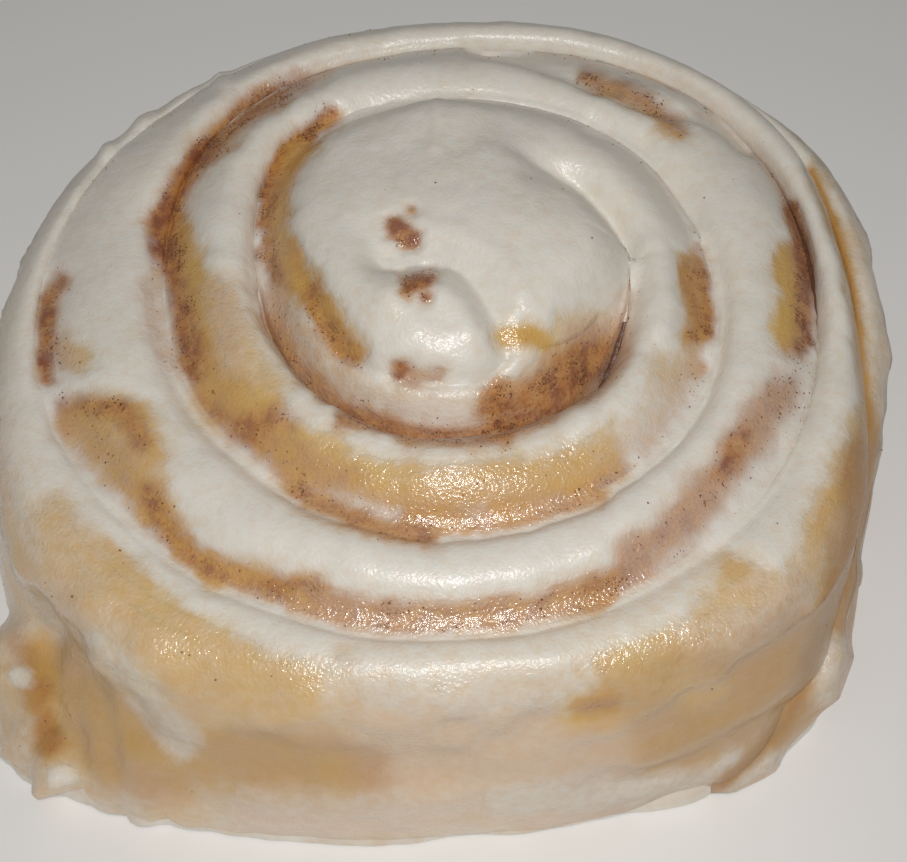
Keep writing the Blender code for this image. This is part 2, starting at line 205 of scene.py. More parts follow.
# Share of icing in the crease, from open to closed, and its cinnamon when closed and when open
OPEN_FILL = (0.3, 0.9)
CREASE_CINNAMON = (0.3, 1.0)
SIDE_CINNAMON = 0.8
SIDE_CINNAMON_SHARE = (0.6, 1.0)
SIDE_CINNAMON_ENDS = (2.85, 3.0)
USUAL_GOLDEN = 0.55
LOW_WALL = (1.3, 2.0)
LOW_WALL_BROWNED = 0.2
LOW_WALL_SEEN = 0.6
SCARCE_BROWNED = 0.4
FIELD_LIMIT = 3.0
DRIP_THICKNESS = 0.6
DRIP_LENGTH = 0.3
DRIP_TIP = (0.08, 0.06)
DRIP_SHARE = (0.4, 0.7)
DRIP_SPACING = 8.0 * MM
# Share of the crease that icing fills, at each eighth of a turn
CREASE_FILL = np.array((
    0.6, 0.0, 0.1, 0.1, 0.7, 1.0, 0.95, 0.85,
    0.9, 1.0, 1.0, 1.0, 0.85, 0.65, 0.65, 0.6,
    0.2, 1.0, 1.0, 1.0, 1.0, 1.0, 1.0, 0.8,
    0.3, 0.1, 0.1,
))

# Filling
FILLING_ENDS = (9, 28)
FILLING_FLOOR_GAP = 1.5 * MM
FILLING_DEPTH = 0.6 * MM
# Section of the ribbon: distance from its middle and depth below its top, or None at its foot
FILLING_SECTION = ((-0.4, None), (-0.4, 0.15), (-0.2, 0.0), (0.2, 0.0), (0.4, 0.15), (0.4, None))

# Pool of icing at the foot of the roll: reach and height at each sixteenth of a turn
POOL_REACH = MM * np.array((
    0.6, 0.6, 0.4, 0.3, 0.1, 0.4, 0.3, 0.1, 0.5, 0.4, 0.9, 0.5, 0.3, 0.7, 1.0, 0.7,
))
POOL_HEIGHT = MM * np.array((
    3.0, 4.0, 6.5, 3.0, 1.6, 2.4, 4.0, 4.0, 3.0, 2.0, 3.2, 2.2, 1.8, 3.0, 3.4, 2.6,
))
POOL_LEAST_HEIGHT = 0.6 * MM
POOL_ROOT = 2.2 * MM
POOL_TAIL_TURNS = 0.035
POOL_CELLS = 8
POOL_LOOK = {"icing": 0.55, "cinnamon": 0.3, "golden": 0.6, "browned": 0.1}

# Cinnamon grains: how many, their radii and single ones by their place in the photograph
GRAINS = 10000
GRAIN_RADII = (0.045 * MM, 0.15 * MM)
GRAIN_SIZE_POWER = 2.5
GRAIN_SCATTER = 0.00015
GRAIN_LEAST_CLUMP = 0.06
GRAIN_CLUMP_POWER = 1.8
GRAIN_BARE_POWER = 2.5
GRAIN_CINNAMON_POWER = 3
GRAIN_PROPORTIONS = (0.5, 1.3)
GRAIN_TIPS = 6
GRAIN_SEED = 41
WELL_SEEN = 0.5
SINGLE_GRAINS = (
    "183,652 712,690 215,683 72,597 118,548 123,568 296,497 275,452 "
    "590,237 532,178 190,655 60,290 67,288 230,600 590,437 648,500"
)

# Cosine of the angle towards the camera, from unseen to seen
FACING = (-0.1, 0.05)
# Strokes: half-width from which the edge wobbles in full, and softness as a share of the width
WOBBLE_WIDTH = 16.0
STROKE_SOFTNESS = 0.45
# Rim of the free upper edge, by the share of the way across
RIM_BEGINS = (0.5, 1.0)
RIM_ENDS = (1.1, 1.4)
# Height up to which the relief fades out towards the floor
RELIEF_FOOT = 3.0 * MM

# Noise: strength, size of the lumps in millimetres and seed of each layer
NOISE_PERIOD = 32
DOUGH_LUMPS = ((0.4, 9.0, 1), (0.15, 3.5, 2))
WALL_LUMPS = ((0.35, 8.0, 3),)
WALL_SQUASH = (1.0, 1.0, 2.2)
RIM_LUMPS = ((0.6, 4.0, 6),)
TORN_FOLDS = ((1.1, 2.6, 4),)
TORN_STRETCH = (1.0, 1.0, 0.4)
TORN_CRUMB = ((0.4, 1.3, 5),)
PAINT_WOBBLE = ((6.0, 2.6, 11), (3.0, 0.9, 12))
ICING_LUMPS = ((0.2, 6.0, 13),)
WALL_PATCHES = ((0.2, 9.0, 14), (0.1, 3.0, 15))
GOLDEN_PATCHES = ((0.45, 10.0, 16),)
DRIP_LENGTHS = ((0.32, 2.2, 17), (0.16, 0.9, 18))
ICING_RIPPLE = ((0.06, 1.6, 21),)
FILLING_RIPPLE = ((0.25, 0.8, 31),)
GRAIN_CLUMPS = ((1.0, 2.4, 42), (0.7, 0.8, 43))
POOL_EDGE = ((0.45, 6.0, 51), (0.15, 2.5, 52))
POOL_ICING = ((0.3, 5.0, 53),)
POOL_CINNAMON = ((0.3, 3.0, 54),)

# Shortest length that a direction is divided by
LEAST_LENGTH = 1e-12

# Kinds of point on the surface
CORE, STRIP, CREASE, WALL, FLOOR = range(5)

# Colours
PALE_DOUGH = (0.70, 0.46, 0.26)
GOLDEN_DOUGH = (0.70, 0.425, 0.11)
WARM_DOUGH = (0.64, 0.37, 0.18)
# Browned dough; the same colour also paints shade on the side of the strip's end
BROWNED_DOUGH_AND_SHADE = (0.34, 0.15, 0.05)
CINNAMON_BROWN = (0.29, 0.095, 0.038)
CINNAMON_ORANGE = (0.50, 0.21, 0.055)
GRAIN_DARK = (0.12, 0.04, 0.018)
GRAIN_BROWN = (0.34, 0.14, 0.05)
ICING_WHITE = (0.80, 0.765, 0.695)
# Icing stained by the cinnamon under it; the same colour paints shade along a few creases
STAINED_AND_SHADED_ICING = (0.55, 0.39, 0.33)
FILLING_COLOURS = ((0.05, 0.018, 0.01), (0.2, 0.08, 0.035))
# How well a millimetre of icing hides what lies under it
ICING_OPACITY = 2.6

# Sizes of the mottling in the glaze, from fine to broad, and depth of its bumps
FINE_SIZE, MIDDLE_SIZE, BLOTCH_SIZE, BROAD_SIZE = 0.4 * MM, 1.3 * MM, 2.5 * MM, 6.0 * MM
MORE_DETAIL = 3.0
GLAZE_BUMPS = 0.13 * MM
FILLING_BUMPS = 0.15 * MM
FILLING_GRAIN = 0.5 * MM
LIGHT_DEPTH = 1.2 * MM
LIGHT_SCATTER = (1.0, 0.65, 0.45)
LIGHT_SHARE = 0.25

# Ranges of a field or of the mottling that fade one look into another, and what they turn into
GOLDEN_FADE = (0.2, 0.9)
WARM_FADE = (0.4, 0.65, 0.0, 0.35)
STAIN_MOTTLE = (0.3, 0.65, 0.6, 1.0)
STAIN_FINE = (0.4, 0.7, -0.1, 0.15)
BLOTCH_FADE = (0.36, 0.68)
UNEVEN_ICING = (0.3, 0.7, 0.7, 1.3)
STAIN_AND_SHADE_FADE = (0.1, 0.9, 0.8, 0.0)
THIN_ICING = (0.05, 0.5)
ROUGHNESS = (0.3, 0.4)
ROUGHNESS_MOTTLE = (0.3, 0.7, 0.0, 0.1)
COAT_WEIGHT = (0.9, 0.25)
COAT_ROUGHNESS = (0.1, 0.2)
BROWNED_DRYNESS = 0.9
SPECULAR = 0.5
BUMPS_UNDER_ICING = (0.1, 0.8, 1.0, 0.5)
MIDDLE_BUMPS = 0.9
FILLING_ROUGHNESS = 0.35
GRAIN_ROUGHNESS = 0.5
FLOOR_COLOUR = (0.92, 0.91, 0.89, 1.0)
FLOOR_ROUGHNESS = 0.6
SHARP_ANGLE = math.radians(60.0)

# Where a colour mix node has its share and its two colours, and where its result
MIX_INPUTS = (0, 6, 7)
MIX_OUTPUT = 2

# Light
WORLD_STRENGTH = 0.175
WORLD_COLOUR = (1.0, 0.98, 0.95, 1.0)
KEY_POWER = 0.212
KEY_PLACE = (0.01, -0.24, 0.368)
KEY_SIZE = 0.06
KEY_TARGET = (0.0, -0.03, 0.025)
KEY_SPREAD = math.radians(85.0)
FLOOR_GAP = 0.2 * MM
FLOOR_HALF = 1.5


def ramp(value, low, high):
    """Smooth step from 0 at low to 1 at high."""
    share = np.clip((value - low) / (high - low), 0.0, 1.0)
    return share * share * (3.0 - 2.0 * share)


def smooth_through(values, position):
    """Smooth curve through evenly spaced values, read at positions counted in steps."""
    last = len(values) - 1
    position = np.clip(position, 0.0, last)
    index = np.minimum(np.floor(position).astype(int), last - 1)
    share = position - index
    before, here, there, after = (values[np.clip(index + step, 0, last)] for step in (-1, 0, 1, 2))
    return 0.5 * (
        2.0 * here
        + (there - before) * share
        + (2.0 * before - 5.0 * here + 4.0 * there - after) * share ** 2
        + (3.0 * here - before - 3.0 * there + after) * share ** 3
    )


def between(first, second, share):
    """Value that lies a share of the way from the first to the second."""
    return first + (second - first) * share


def soft_noise(points, layers):
    """Smooth random field: a sum of layers that each run from about -strength to strength."""
    total = np.zeros(len(points))
    for strength, size, seed in layers:
        lattice = np.random.default_rng(seed).uniform(-1.0, 1.0, (NOISE_PERIOD,) * 3)
        place = points / (size * MM)
        cell = np.floor(place).astype(int)
        share = ramp(place - cell, 0.0, 1.0)
        for corner in itertools.product((0, 1), repeat=3):
            weight = np.prod(np.where(corner, share, 1.0 - share), axis=1)
            index = (cell + corner) % NOISE_PERIOD
            total += strength * weight * lattice[tuple(index.T)]
    return total


# The swirl's shape

def belly_radius(turn):
    radii = np.concatenate((BELLY_RADII[-1:], BELLY_RADII, BELLY_RADII[:2]))
    return smooth_through(radii, SIXTEENTHS * (turn % 1.0) + 1.0)


def crease_radius(turn):
    inside = smooth_through(CREASE_RADII, EIGHTHS * turn)
    outside = belly_radius(turn) + CREASE_WIDTH / 2.0
    return between(inside, outside, ramp(turn, CREASE_TURNS - CREASE_RUNOUT, CREASE_TURNS))


def tail_hug(turn):
    """How far the end of the strip reaches in under the surface of the turn inside it."""
    return TAIL_HUG * ramp(turn, STRIP_TURNS - TAIL_TURNS, STRIP_TURNS - TAIL_TURNS / 2.0)


def outer_radius(turn):
    """Distance to the free outer wall; the end of the strip thins out into the wall inside it."""
    lip = TAIL_LIP - TAIL_SINK * ramp(turn, STRIP_TURNS - TAIL_TIP_TURNS, STRIP_TURNS)
    share = ramp(turn, STRIP_TURNS - TAIL_TURNS, STRIP_TURNS)
    return between(belly_radius(turn), crease_radius(turn - 1.0) + lip, share)


def corner_bulge(turn, height):
    """How far the torn front left corner stands out near the floor."""
    place = (turn % 1.0 - CORNER_TURN) / CORNER_SPREAD
    rise = np.clip(1.0 - height / CORNER_HEIGHT, 0.0, 1.0)
    return CORNER_BULGE * np.exp(-place * place) * rise


def core_loop_radius(turn):
    swing = np.sqrt(np.abs(np.sin(math.pi * np.clip(turn, 0.0, 1.0))))
    return CREASE_RADII[0] - CREASE_WIDTH / 2.0 - CORE_WAIST * swing


def inner_edge(turn):
    later = crease_radius(np.maximum(turn - 1.0, 0.0)) - CREASE_WIDTH / 2.0 - tail_hug(turn)
    later += CREASE_WIDTH * ramp(turn, 1.0, 1.0 + CREASE_OPENS)
    return np.where(turn <= 1.0, core_loop_radius(turn), later)


def outer_edge(turn):
    rolled = crease_radius(turn) - CREASE_WIDTH / 2.0
    free = outer_radius(turn) - SHOULDER_INSET * ramp(turn, CREASE_TURNS, CREASE_TURNS + WALL_START)
    return np.where(turn <= CREASE_TURNS, rolled, free)


def plan(turn, radius, height):
    """Points in space from a place in turns, a distance from the middle and a height."""
    angle = 2.0 * math.pi * turn
    x, y, z = np.broadcast_arrays(radius * np.cos(angle), -radius * np.sin(angle), height)
    return np.stack((x, y, z), axis=-1)


def core_height(points):
    """Height of the swirl's middle, with its two lobes and the S-shaped fold between them."""
    x, y = points[..., 0], points[..., 1]
    height = CORE_HEIGHT - CORE_FALL * (x * x + y * y) / CORE_RADIUS ** 2
    for middle_x, middle_y, reach, rise in LOBES:
        away = ((x - middle_x * MM) ** 2 + (y - middle_y * MM) ** 2) / (reach * MM) ** 2
        height = height + rise * MM * np.exp(-away)
    depth = np.zeros_like(height)
    for share in np.linspace(0.0, 1.0, FOLD_SAMPLES):
        place = share * (len(FOLD_PATH) - 1)
        fold_x = smooth_through(FOLD_PATH[:, 0], place)
        fold_y = smooth_through(FOLD_PATH[:, 1], place)
        beside = np.exp(-(np.minimum(x - fold_x, 0.0) / FOLD_WIDTH) ** 2)
        width = FOLD_WIDTH * (1.0 + FOLD_BACK_SHARE * ramp(y - fold_y, 0.0, FOLD_WIDTH) * beside)
        away = ((x - fold_x) ** 2 + (y - fold_y) ** 2) / width ** 2
        local = between(FOLD_DEPTH, FOLD_END_DEPTH, share) * ramp(share, *FOLD_START)
        depth = np.maximum(depth, local * np.exp(-away))
    return height - depth


def first_turn_height(turn, radius):
    """Upper surface of the middle disc and of the first turn, which unwinds from it."""
    height = core_height(plan(turn, radius, 0.0))
    valley = CREASE_RADII[0] * (1.0 - VALLEY_TWIST * (1.0 - turn))
    outside = ramp(radius - valley, -VALLEY_WIDTH, 2.0 * VALLEY_WIDTH)
    unwound = ramp(turn, UNWIND_START, 1.0)
    height = between(height, smooth_through(CREST_HEIGHTS, QUARTERS * turn), unwound * outside)
    across = np.exp(-((radius - valley) / VALLEY_WIDTH) ** 2)
    height = height - CORE_START_DROP * ramp(turn, VALLEY_START, 1.0) * across
    wall = between(CORE_START_DROP, CORE_WALL_DROP, ramp(turn, *CORE_WALL_DEEPENS))
    wall = wall - (CORE_WALL_DROP - OUTER_DROP) * ramp(turn, *CORE_WALL_FADES)
    opened = ramp(turn, *CORE_WALL_OPENS)
    reach = between(*CORE_WALL_WIDTHS, opened)
    reach = np.maximum(reach, unwound * (1.0 - CREST_SHARE) * COIL_WIDTH)
    near = np.maximum(0.0, 1.0 - (outer_edge(turn) - radius) / reach)
    return height - wall * near ** between(*CORE_WALL_POWERS, opened)


def coil_height(turn, share):
    """Upper surface of a later turn, by its share of the way from the inner to the outer side."""
    crest = smooth_through(CREST_HEIGHTS, QUARTERS * turn)
    back = ramp(np.cos(2.0 * math.pi * (turn - BACK_TURN)), *BACK_REACH)
    lip = INNER_DROP * between(1.0, LAST_TURN_DROP, ramp(turn, *LAST_TURN)) * crest / CREST_HEIGHTS[4]
    lip = lip * between(1.0, BACK_INNER_DROP, back)
    lip = lip * np.maximum(1.0 - share / CREST_SHARE, 0.0) ** INNER_POWER
    reach = np.maximum((share - CREST_SHARE) / (1.0 - CREST_SHARE), 0.0)
    crease_side = OUTER_DROP * reach ** between(OUTER_POWER, BACK_POWER, back)
    crease_side = crease_side * between(1.0, BACK_OUTER_DROP, back * ramp(turn, *BACK_OUTER_TURNS))
    free = ramp(turn, *FREE_EDGE)
    crest = crest - BACK_TILT * (share - BACK_TILT_SHARE) * back * free
    wall_side = SHOULDER_SHARE * crest * (1.0 - np.sqrt(1.0 - (SHOULDER_ROUND * reach) ** 2))
    return crest - lip - between(crease_side, wall_side, free)


def top_points(turn, share):
    """Points of the strip's upper surface."""
    inner = inner_edge(turn)
    radius = inner + (outer_edge(turn) - inner) * share
    first = first_turn_height(np.minimum(turn, 1.0), radius)
    settled = ramp(turn, 1.0, 1.0 + SETTLE_TURNS)
    opening = OPENING_DROP * np.exp(-((turn - OPENING_TURN) / OPENING_SPREAD) ** 2) * (turn > 1.0)
    opening = opening * np.maximum(0.0, 1.0 - share / OPENING_SHARE) ** OPENING_POWER
    return plan(turn, radius, between(first, coil_height(turn, share), settled) - opening)


def wall_points(turn, level, top_height):
    """Points of the outer wall, from its upper edge at level 1 down to the floor at level 0."""
    tuck = np.minimum(FOOT_TUCK, FOOT_LIMIT * (outer_edge(turn) - inner_edge(turn)))
    round_share = ramp(turn, CREASE_TURNS, CREASE_TURNS + WALL_START)
    foot_share = ramp(turn, CREASE_TURNS - WALL_START, CREASE_TURNS + WALL_START)
    belly = SHOULDER_INSET * round_share * (1.0 - ramp(level, FOOT_SHARE, 1.0))
    foot = tuck * foot_share * np.maximum(0.0, 1.0 - level / FOOT_SHARE) ** 2
    height = level * top_height
    return plan(turn, outer_edge(turn) + belly - foot + corner_bulge(turn, height), height)


class Swirl:
    """Grid of the outer surface: the middle disc, the strip round it, the creases, the wall."""

    def __init__(self):
        self.points = np.zeros((0, 3))
        self.turn = np.zeros(0)
        self.share = np.zeros(0)
        self.zone = np.zeros(0, int)
        self.core = self.make_core()
        self.strip = self.make_strip()
        self.crease = self.make_crease()
        self.wall = self.make_wall()
        self.outer_floor = self.add_floor(self.strip[:WALL_STEP, -1])
        self.inner_floor = self.add_floor(self.strip[STEPS + 1:, 0])
        self.core_floor = self.add_floor(self.core[-1][1:])
        self.middle_floor = self.add_floor(self.core[0][:1])

    def add(self, points, turn, share, zone):
        """Append a block of points and return their numbers, in the block's shape."""
        shape = points.shape[:-1]
        first = len(self.points)
        self.points = np.concatenate((self.points, points.reshape(-1, 3)))
        self.turn = np.concatenate((self.turn, np.broadcast_to(turn, shape).ravel()))
        self.share = np.concatenate((self.share, np.broadcast_to(share, shape).ravel()))
        self.zone = np.concatenate((self.zone, np.full(int(np.prod(shape)), zone)))
        return first + np.arange(int(np.prod(shape))).reshape(shape)

    def add_floor(self, above):
        points = self.points[above] * (1.0, 1.0, 0.0)
        return self.add(points, self.turn[above], 2.0, FLOOR)

    def make_core(self):
        turn = np.arange(STEPS)[None, :] / STEPS
        ring = np.arange(CORE_RINGS + 1)[:, None] / CORE_RINGS
        radius = core_loop_radius(turn) * ring
        points = plan(turn, radius, first_turn_height(turn, radius))
        middle = self.add(points[:1, :1], 0.0, -1.0, CORE)
        rings = self.add(points[1:], turn, ring[1:] - 1.0, CORE)
        return np.concatenate((np.broadcast_to(middle, (1, STEPS)), rings))

    def make_strip(self):
        line = np.arange(COIL_CELLS + 1) / COIL_CELLS
        share = line - COIL_CROWDING * np.sin(2.0 * math.pi * line)
        strip = np.zeros((STRIP_STEPS + 1, COIL_CELLS + 1), int)
        turn = np.arange(1, STRIP_STEPS + 1)[:, None] / STEPS
        strip[1:, 1:] = self.add(top_points(turn, share[1:]), turn, share[1:], STRIP)
        strip[1:STEPS + 1, 0] = self.core[-1][np.arange(1, STEPS + 1) % STEPS]
        turn = turn[STEPS:, 0]
        strip[STEPS + 1:, 0] = self.add(top_points(turn, 0.0 * turn), turn, 0.0, STRIP)
        strip[0] = self.core[-1][0]
        return strip

    def make_crease(self):
        """Columns that span the crease along its bottom, as far as the free wall."""
        first, second = self.strip[:WALL_STEP + 1, -1:], self.strip[STEPS:STEPS + WALL_STEP + 1, :1]
        inner, outer = self.points[first], self.points[second]
        points = between(inner, outer, np.arange(1, CREASE_CELLS)[:, None] / CREASE_CELLS)
        turn = np.arange(WALL_STEP + 1)[:, None] / STEPS
        lowest = np.minimum(inner, outer)[..., 2]
        points[..., 2] = lowest - CREASE_BOTTOM * ramp(turn, 0.0, CREASE_DEEPENS)
        return np.concatenate((first, self.add(points, turn, 1.0, CREASE), second), axis=1)

    def make_wall(self):
        edge = self.strip[WALL_STEP:, -1:]
        turn = np.arange(WALL_STEP, STRIP_STEPS + 1)[:, None] / STEPS
        level = 1.0 - np.arange(1, WALL_CELLS + 1)[None, :] / WALL_CELLS
        points = wall_points(turn, level, self.points[edge, 2])
        return np.concatenate((edge, self.add(points, turn, 2.0 - level, WALL)), axis=1)

    def outer_cells(self):
        """Cells of the whole outer surface, which spans the creases."""
        grids = (closed(self.core), self.strip.T, self.crease.T, self.wall.T)
        return np.concatenate([grid_cells(grid) for grid in grids])

    def dough_cells(self):
        """Cells of the closed dough: its top, the walls on both its sides and its underside."""
        outer_floor = np.concatenate((self.outer_floor, self.wall[:, -1]))
        inner_floor = np.concatenate((outer_floor[:1], self.inner_floor))
        core_floor = np.concatenate((outer_floor[:1], self.core_floor, outer_floor[:1]))
        middle_floor = np.broadcast_to(self.middle_floor, core_floor.shape)
        rolled = slice(0, WALL_STEP)
        blocks = (
            grid_cells(closed(self.core)),
            grid_cells(self.strip),
            grid_cells(np.stack((self.strip[rolled, -1], outer_floor[rolled]), axis=1)),
            grid_cells(self.wall),
            grid_cells(np.stack((self.strip[STEPS:, 0], inner_floor), axis=1)),
            grid_cells(np.stack((middle_floor, core_floor), axis=1)),
            grid_cells(np.stack((core_floor, outer_floor[:STEPS + 1]), axis=1)),
            grid_cells(np.stack((inner_floor, outer_floor[STEPS:]), axis=1)),
        )
        cells = [list(cell) for cell in np.concatenate(blocks)]
        here = [self.strip[WALL_STEP - 1, -1], outer_floor[WALL_STEP - 1]]
        cells.append(here[:1] + list(self.wall[0]) + here[1:])
        cells.append(list(self.strip[-1][::-1]) + [inner_floor[-1]] + list(self.wall[-1][:0:-1]))
        return cells


def closed(grid):
    """Grid of point numbers with its first column again after its last."""
    return np.concatenate((grid, grid[:, :1]), axis=1)


def closed_rows(points):
    """Numbers of a grid of points whose rows close on themselves."""
    return closed(np.arange(points.shape[0] * points.shape[1]).reshape(points.shape[:2]))


def new_numbers(used, count):
    """New number of each of count points when only the used ones stay; -1 for the others."""
    number = np.full(count, -1)
    number[used] = np.arange(len(used))
    return number


def grid_cells(grid):
    """Cells between the rows and columns of a grid of point numbers."""
    corners = (grid[:-1, :-1], grid[:-1, 1:], grid[1:, 1:], grid[1:, :-1])
    return np.stack([corner.ravel() for corner in corners], axis=1)


def point_normals(points, cells):
    """Outward normal at each point, from the cells round it."""
    across = points[cells[:, 2]] - points[cells[:, 0]]
    along = points[cells[:, 3]] - points[cells[:, 1]]
    facing = np.cross(across, along)
    total = np.zeros_like(points)
    for corner in range(4):
        np.add.at(total, cells[:, corner], facing)
    length = np.linalg.norm(total, axis=1, keepdims=True)
    return total / np.maximum(length, LEAST_LENGTH)


# Places of the photograph

VIEW_DIRECTION = np.array((0.0, math.cos(ELEVATION), -math.sin(ELEVATION)))
VIEW_UP = np.array((0.0, math.sin(ELEVATION), math.cos(ELEVATION)))
CAMERA_PLACE = TARGET - DISTANCE * VIEW_DIRECTION


def in_photo(points):
    """Where the camera sees points, in the photograph's pixels."""
    ray = points - CAMERA_PLACE
    depth = ray @ VIEW_DIRECTION
    column = PHOTO_SIZE[0] / 2.0 + FOCAL_PIXELS * ray[:, 0] / depth
    row = PHOTO_SIZE[1] / 2.0 - FOCAL_PIXELS * (ray @ VIEW_UP) / depth
    return np.stack((column, row), axis=1)


def path_points(path):
    """Points of a path that is written as x,y pairs with spaces between them."""
    return np.array([point.split(",") for point in path.split()], float)


def stroke_distance(places, path):
    """Distance of places from a line through the points of a path."""
    path = path_points(path)
    if len(path) == 1:
        return np.linalg.norm(places - path[0], axis=1)
    nearest = np.full(len(places), np.inf)
    for start, end in zip(path, path[1:]):
        run = end - start
        share = np.clip((places - start) @ run / (run @ run), 0.0, 1.0)
        gap = places - start - share[:, None] * run
        nearest = np.minimum(nearest, np.linalg.norm(gap, axis=1))
    return nearest


# Paths in the photograph's pixels, as x,y points, that several kinds of stroke follow
TAIL_CREASE = "812,172 828,210 843,252 852,290 858,330 861,365 865,399 867,446 867,490"
TAIL_EDGE = "868,461 862,508 846,555 828,602 815,649 799,696 787,720 750,760 713,793"
TAIL_SIDE = "862,455 858,530 848,590"
# Path of a painted line of shade along the crease at the back
BACK_CREASE_SHADE = "694,116 720,128 745,150"
MIDDLE_FOOT = "345,416 400,430 450,438 500,435"
MIDDLE_SIDE = "628,300 626,335 616,372 590,402"
# Path of painted shade on the shaded left side of a crease
LEFT_CREASE_SHADE = "148,285 156,325 170,365"
ORANGE_SMEAR = "582,707 610,704"

# Relief on the dough: height in millimetres, half-width and path in pixels
RELIEF = (
    # fold of the middle coil
    (0.2, 18, "350,262 370,292"),
    (-0.3, 16, "382,264 410,262 440,264 468,280 486,304 496,328"),
    (0.7, 15, "392,300 430,290 460,308 474,334"),
    (0.5, 14, "420,232 460,240 500,262 520,290"),
    (0.25, 7, "437,100 437,125 436,150"),
    # lumps of the outline at the back left
    (1.2, 10, "138,120 144,113"),
    (0.9, 9, "106,152"),
    (0.8, 8, "222,82"),
    # valleys behind and beside the middle coil
    (-1.0, 14, "530,170 560,176 585,188 610,217 625,250 632,285"),
    (-1.4, 9, "590,128 620,138 645,150 668,178 682,202 692,225"),
    (-1.6, 7, "470,50 520,60 560,72 600,86 640,101 690,114 720,128 745,150"),
    (0.5, 12, "650,250 664,290 660,330"),
    # torn front left corner
    (3.2, 15, "12,640 8,700 8,760"),
    (2.4, 15, "28,745 55,775"),
    (-1.2, 10, "44,640 46,690 48,730"),
    (1.0, 12, "30,690 32,725"),
    (-0.9, 13, "62,690 74,740 86,785"),
    (2.0, 12, "62,776"),
    (1.0, 8, "20,674"),
    (0.8, 14, "100,660 120,725 140,790"),
    # icing over the end of the strip
    (1.4, 15, "834,655 824,690"),
    (1.2, 17, "730,782 768,762"),
    # wall
    (-1.1, 10, "300,262 318,300 345,352 370,367 400,375 440,378 480,374 505,352"),
    (0.7, 13, "300,330 330,370 370,392 420,402 480,402"),
    (-1.1, 24, "40,615 70,655 98,695 122,728"),
    (-0.6, 18, "180,752 240,776 300,790"),
    (0.8, 26, "100,610 140,655 182,700 232,735"),
    (-0.8, 14, "690,702 730,682 770,655 800,622"),
    (-0.8, 15, "600,786 680,770 735,742 780,708"),
    (0.7, 14, "640,760 700,740 760,705 800,665"),
    (0.6, 14, "700,655 750,630 790,590"),
    (-0.6, 18, "200,705 235,745 300,760 370,769 450,772"),
    (0.5, 14, "250,795 340,800 450,798"),
)
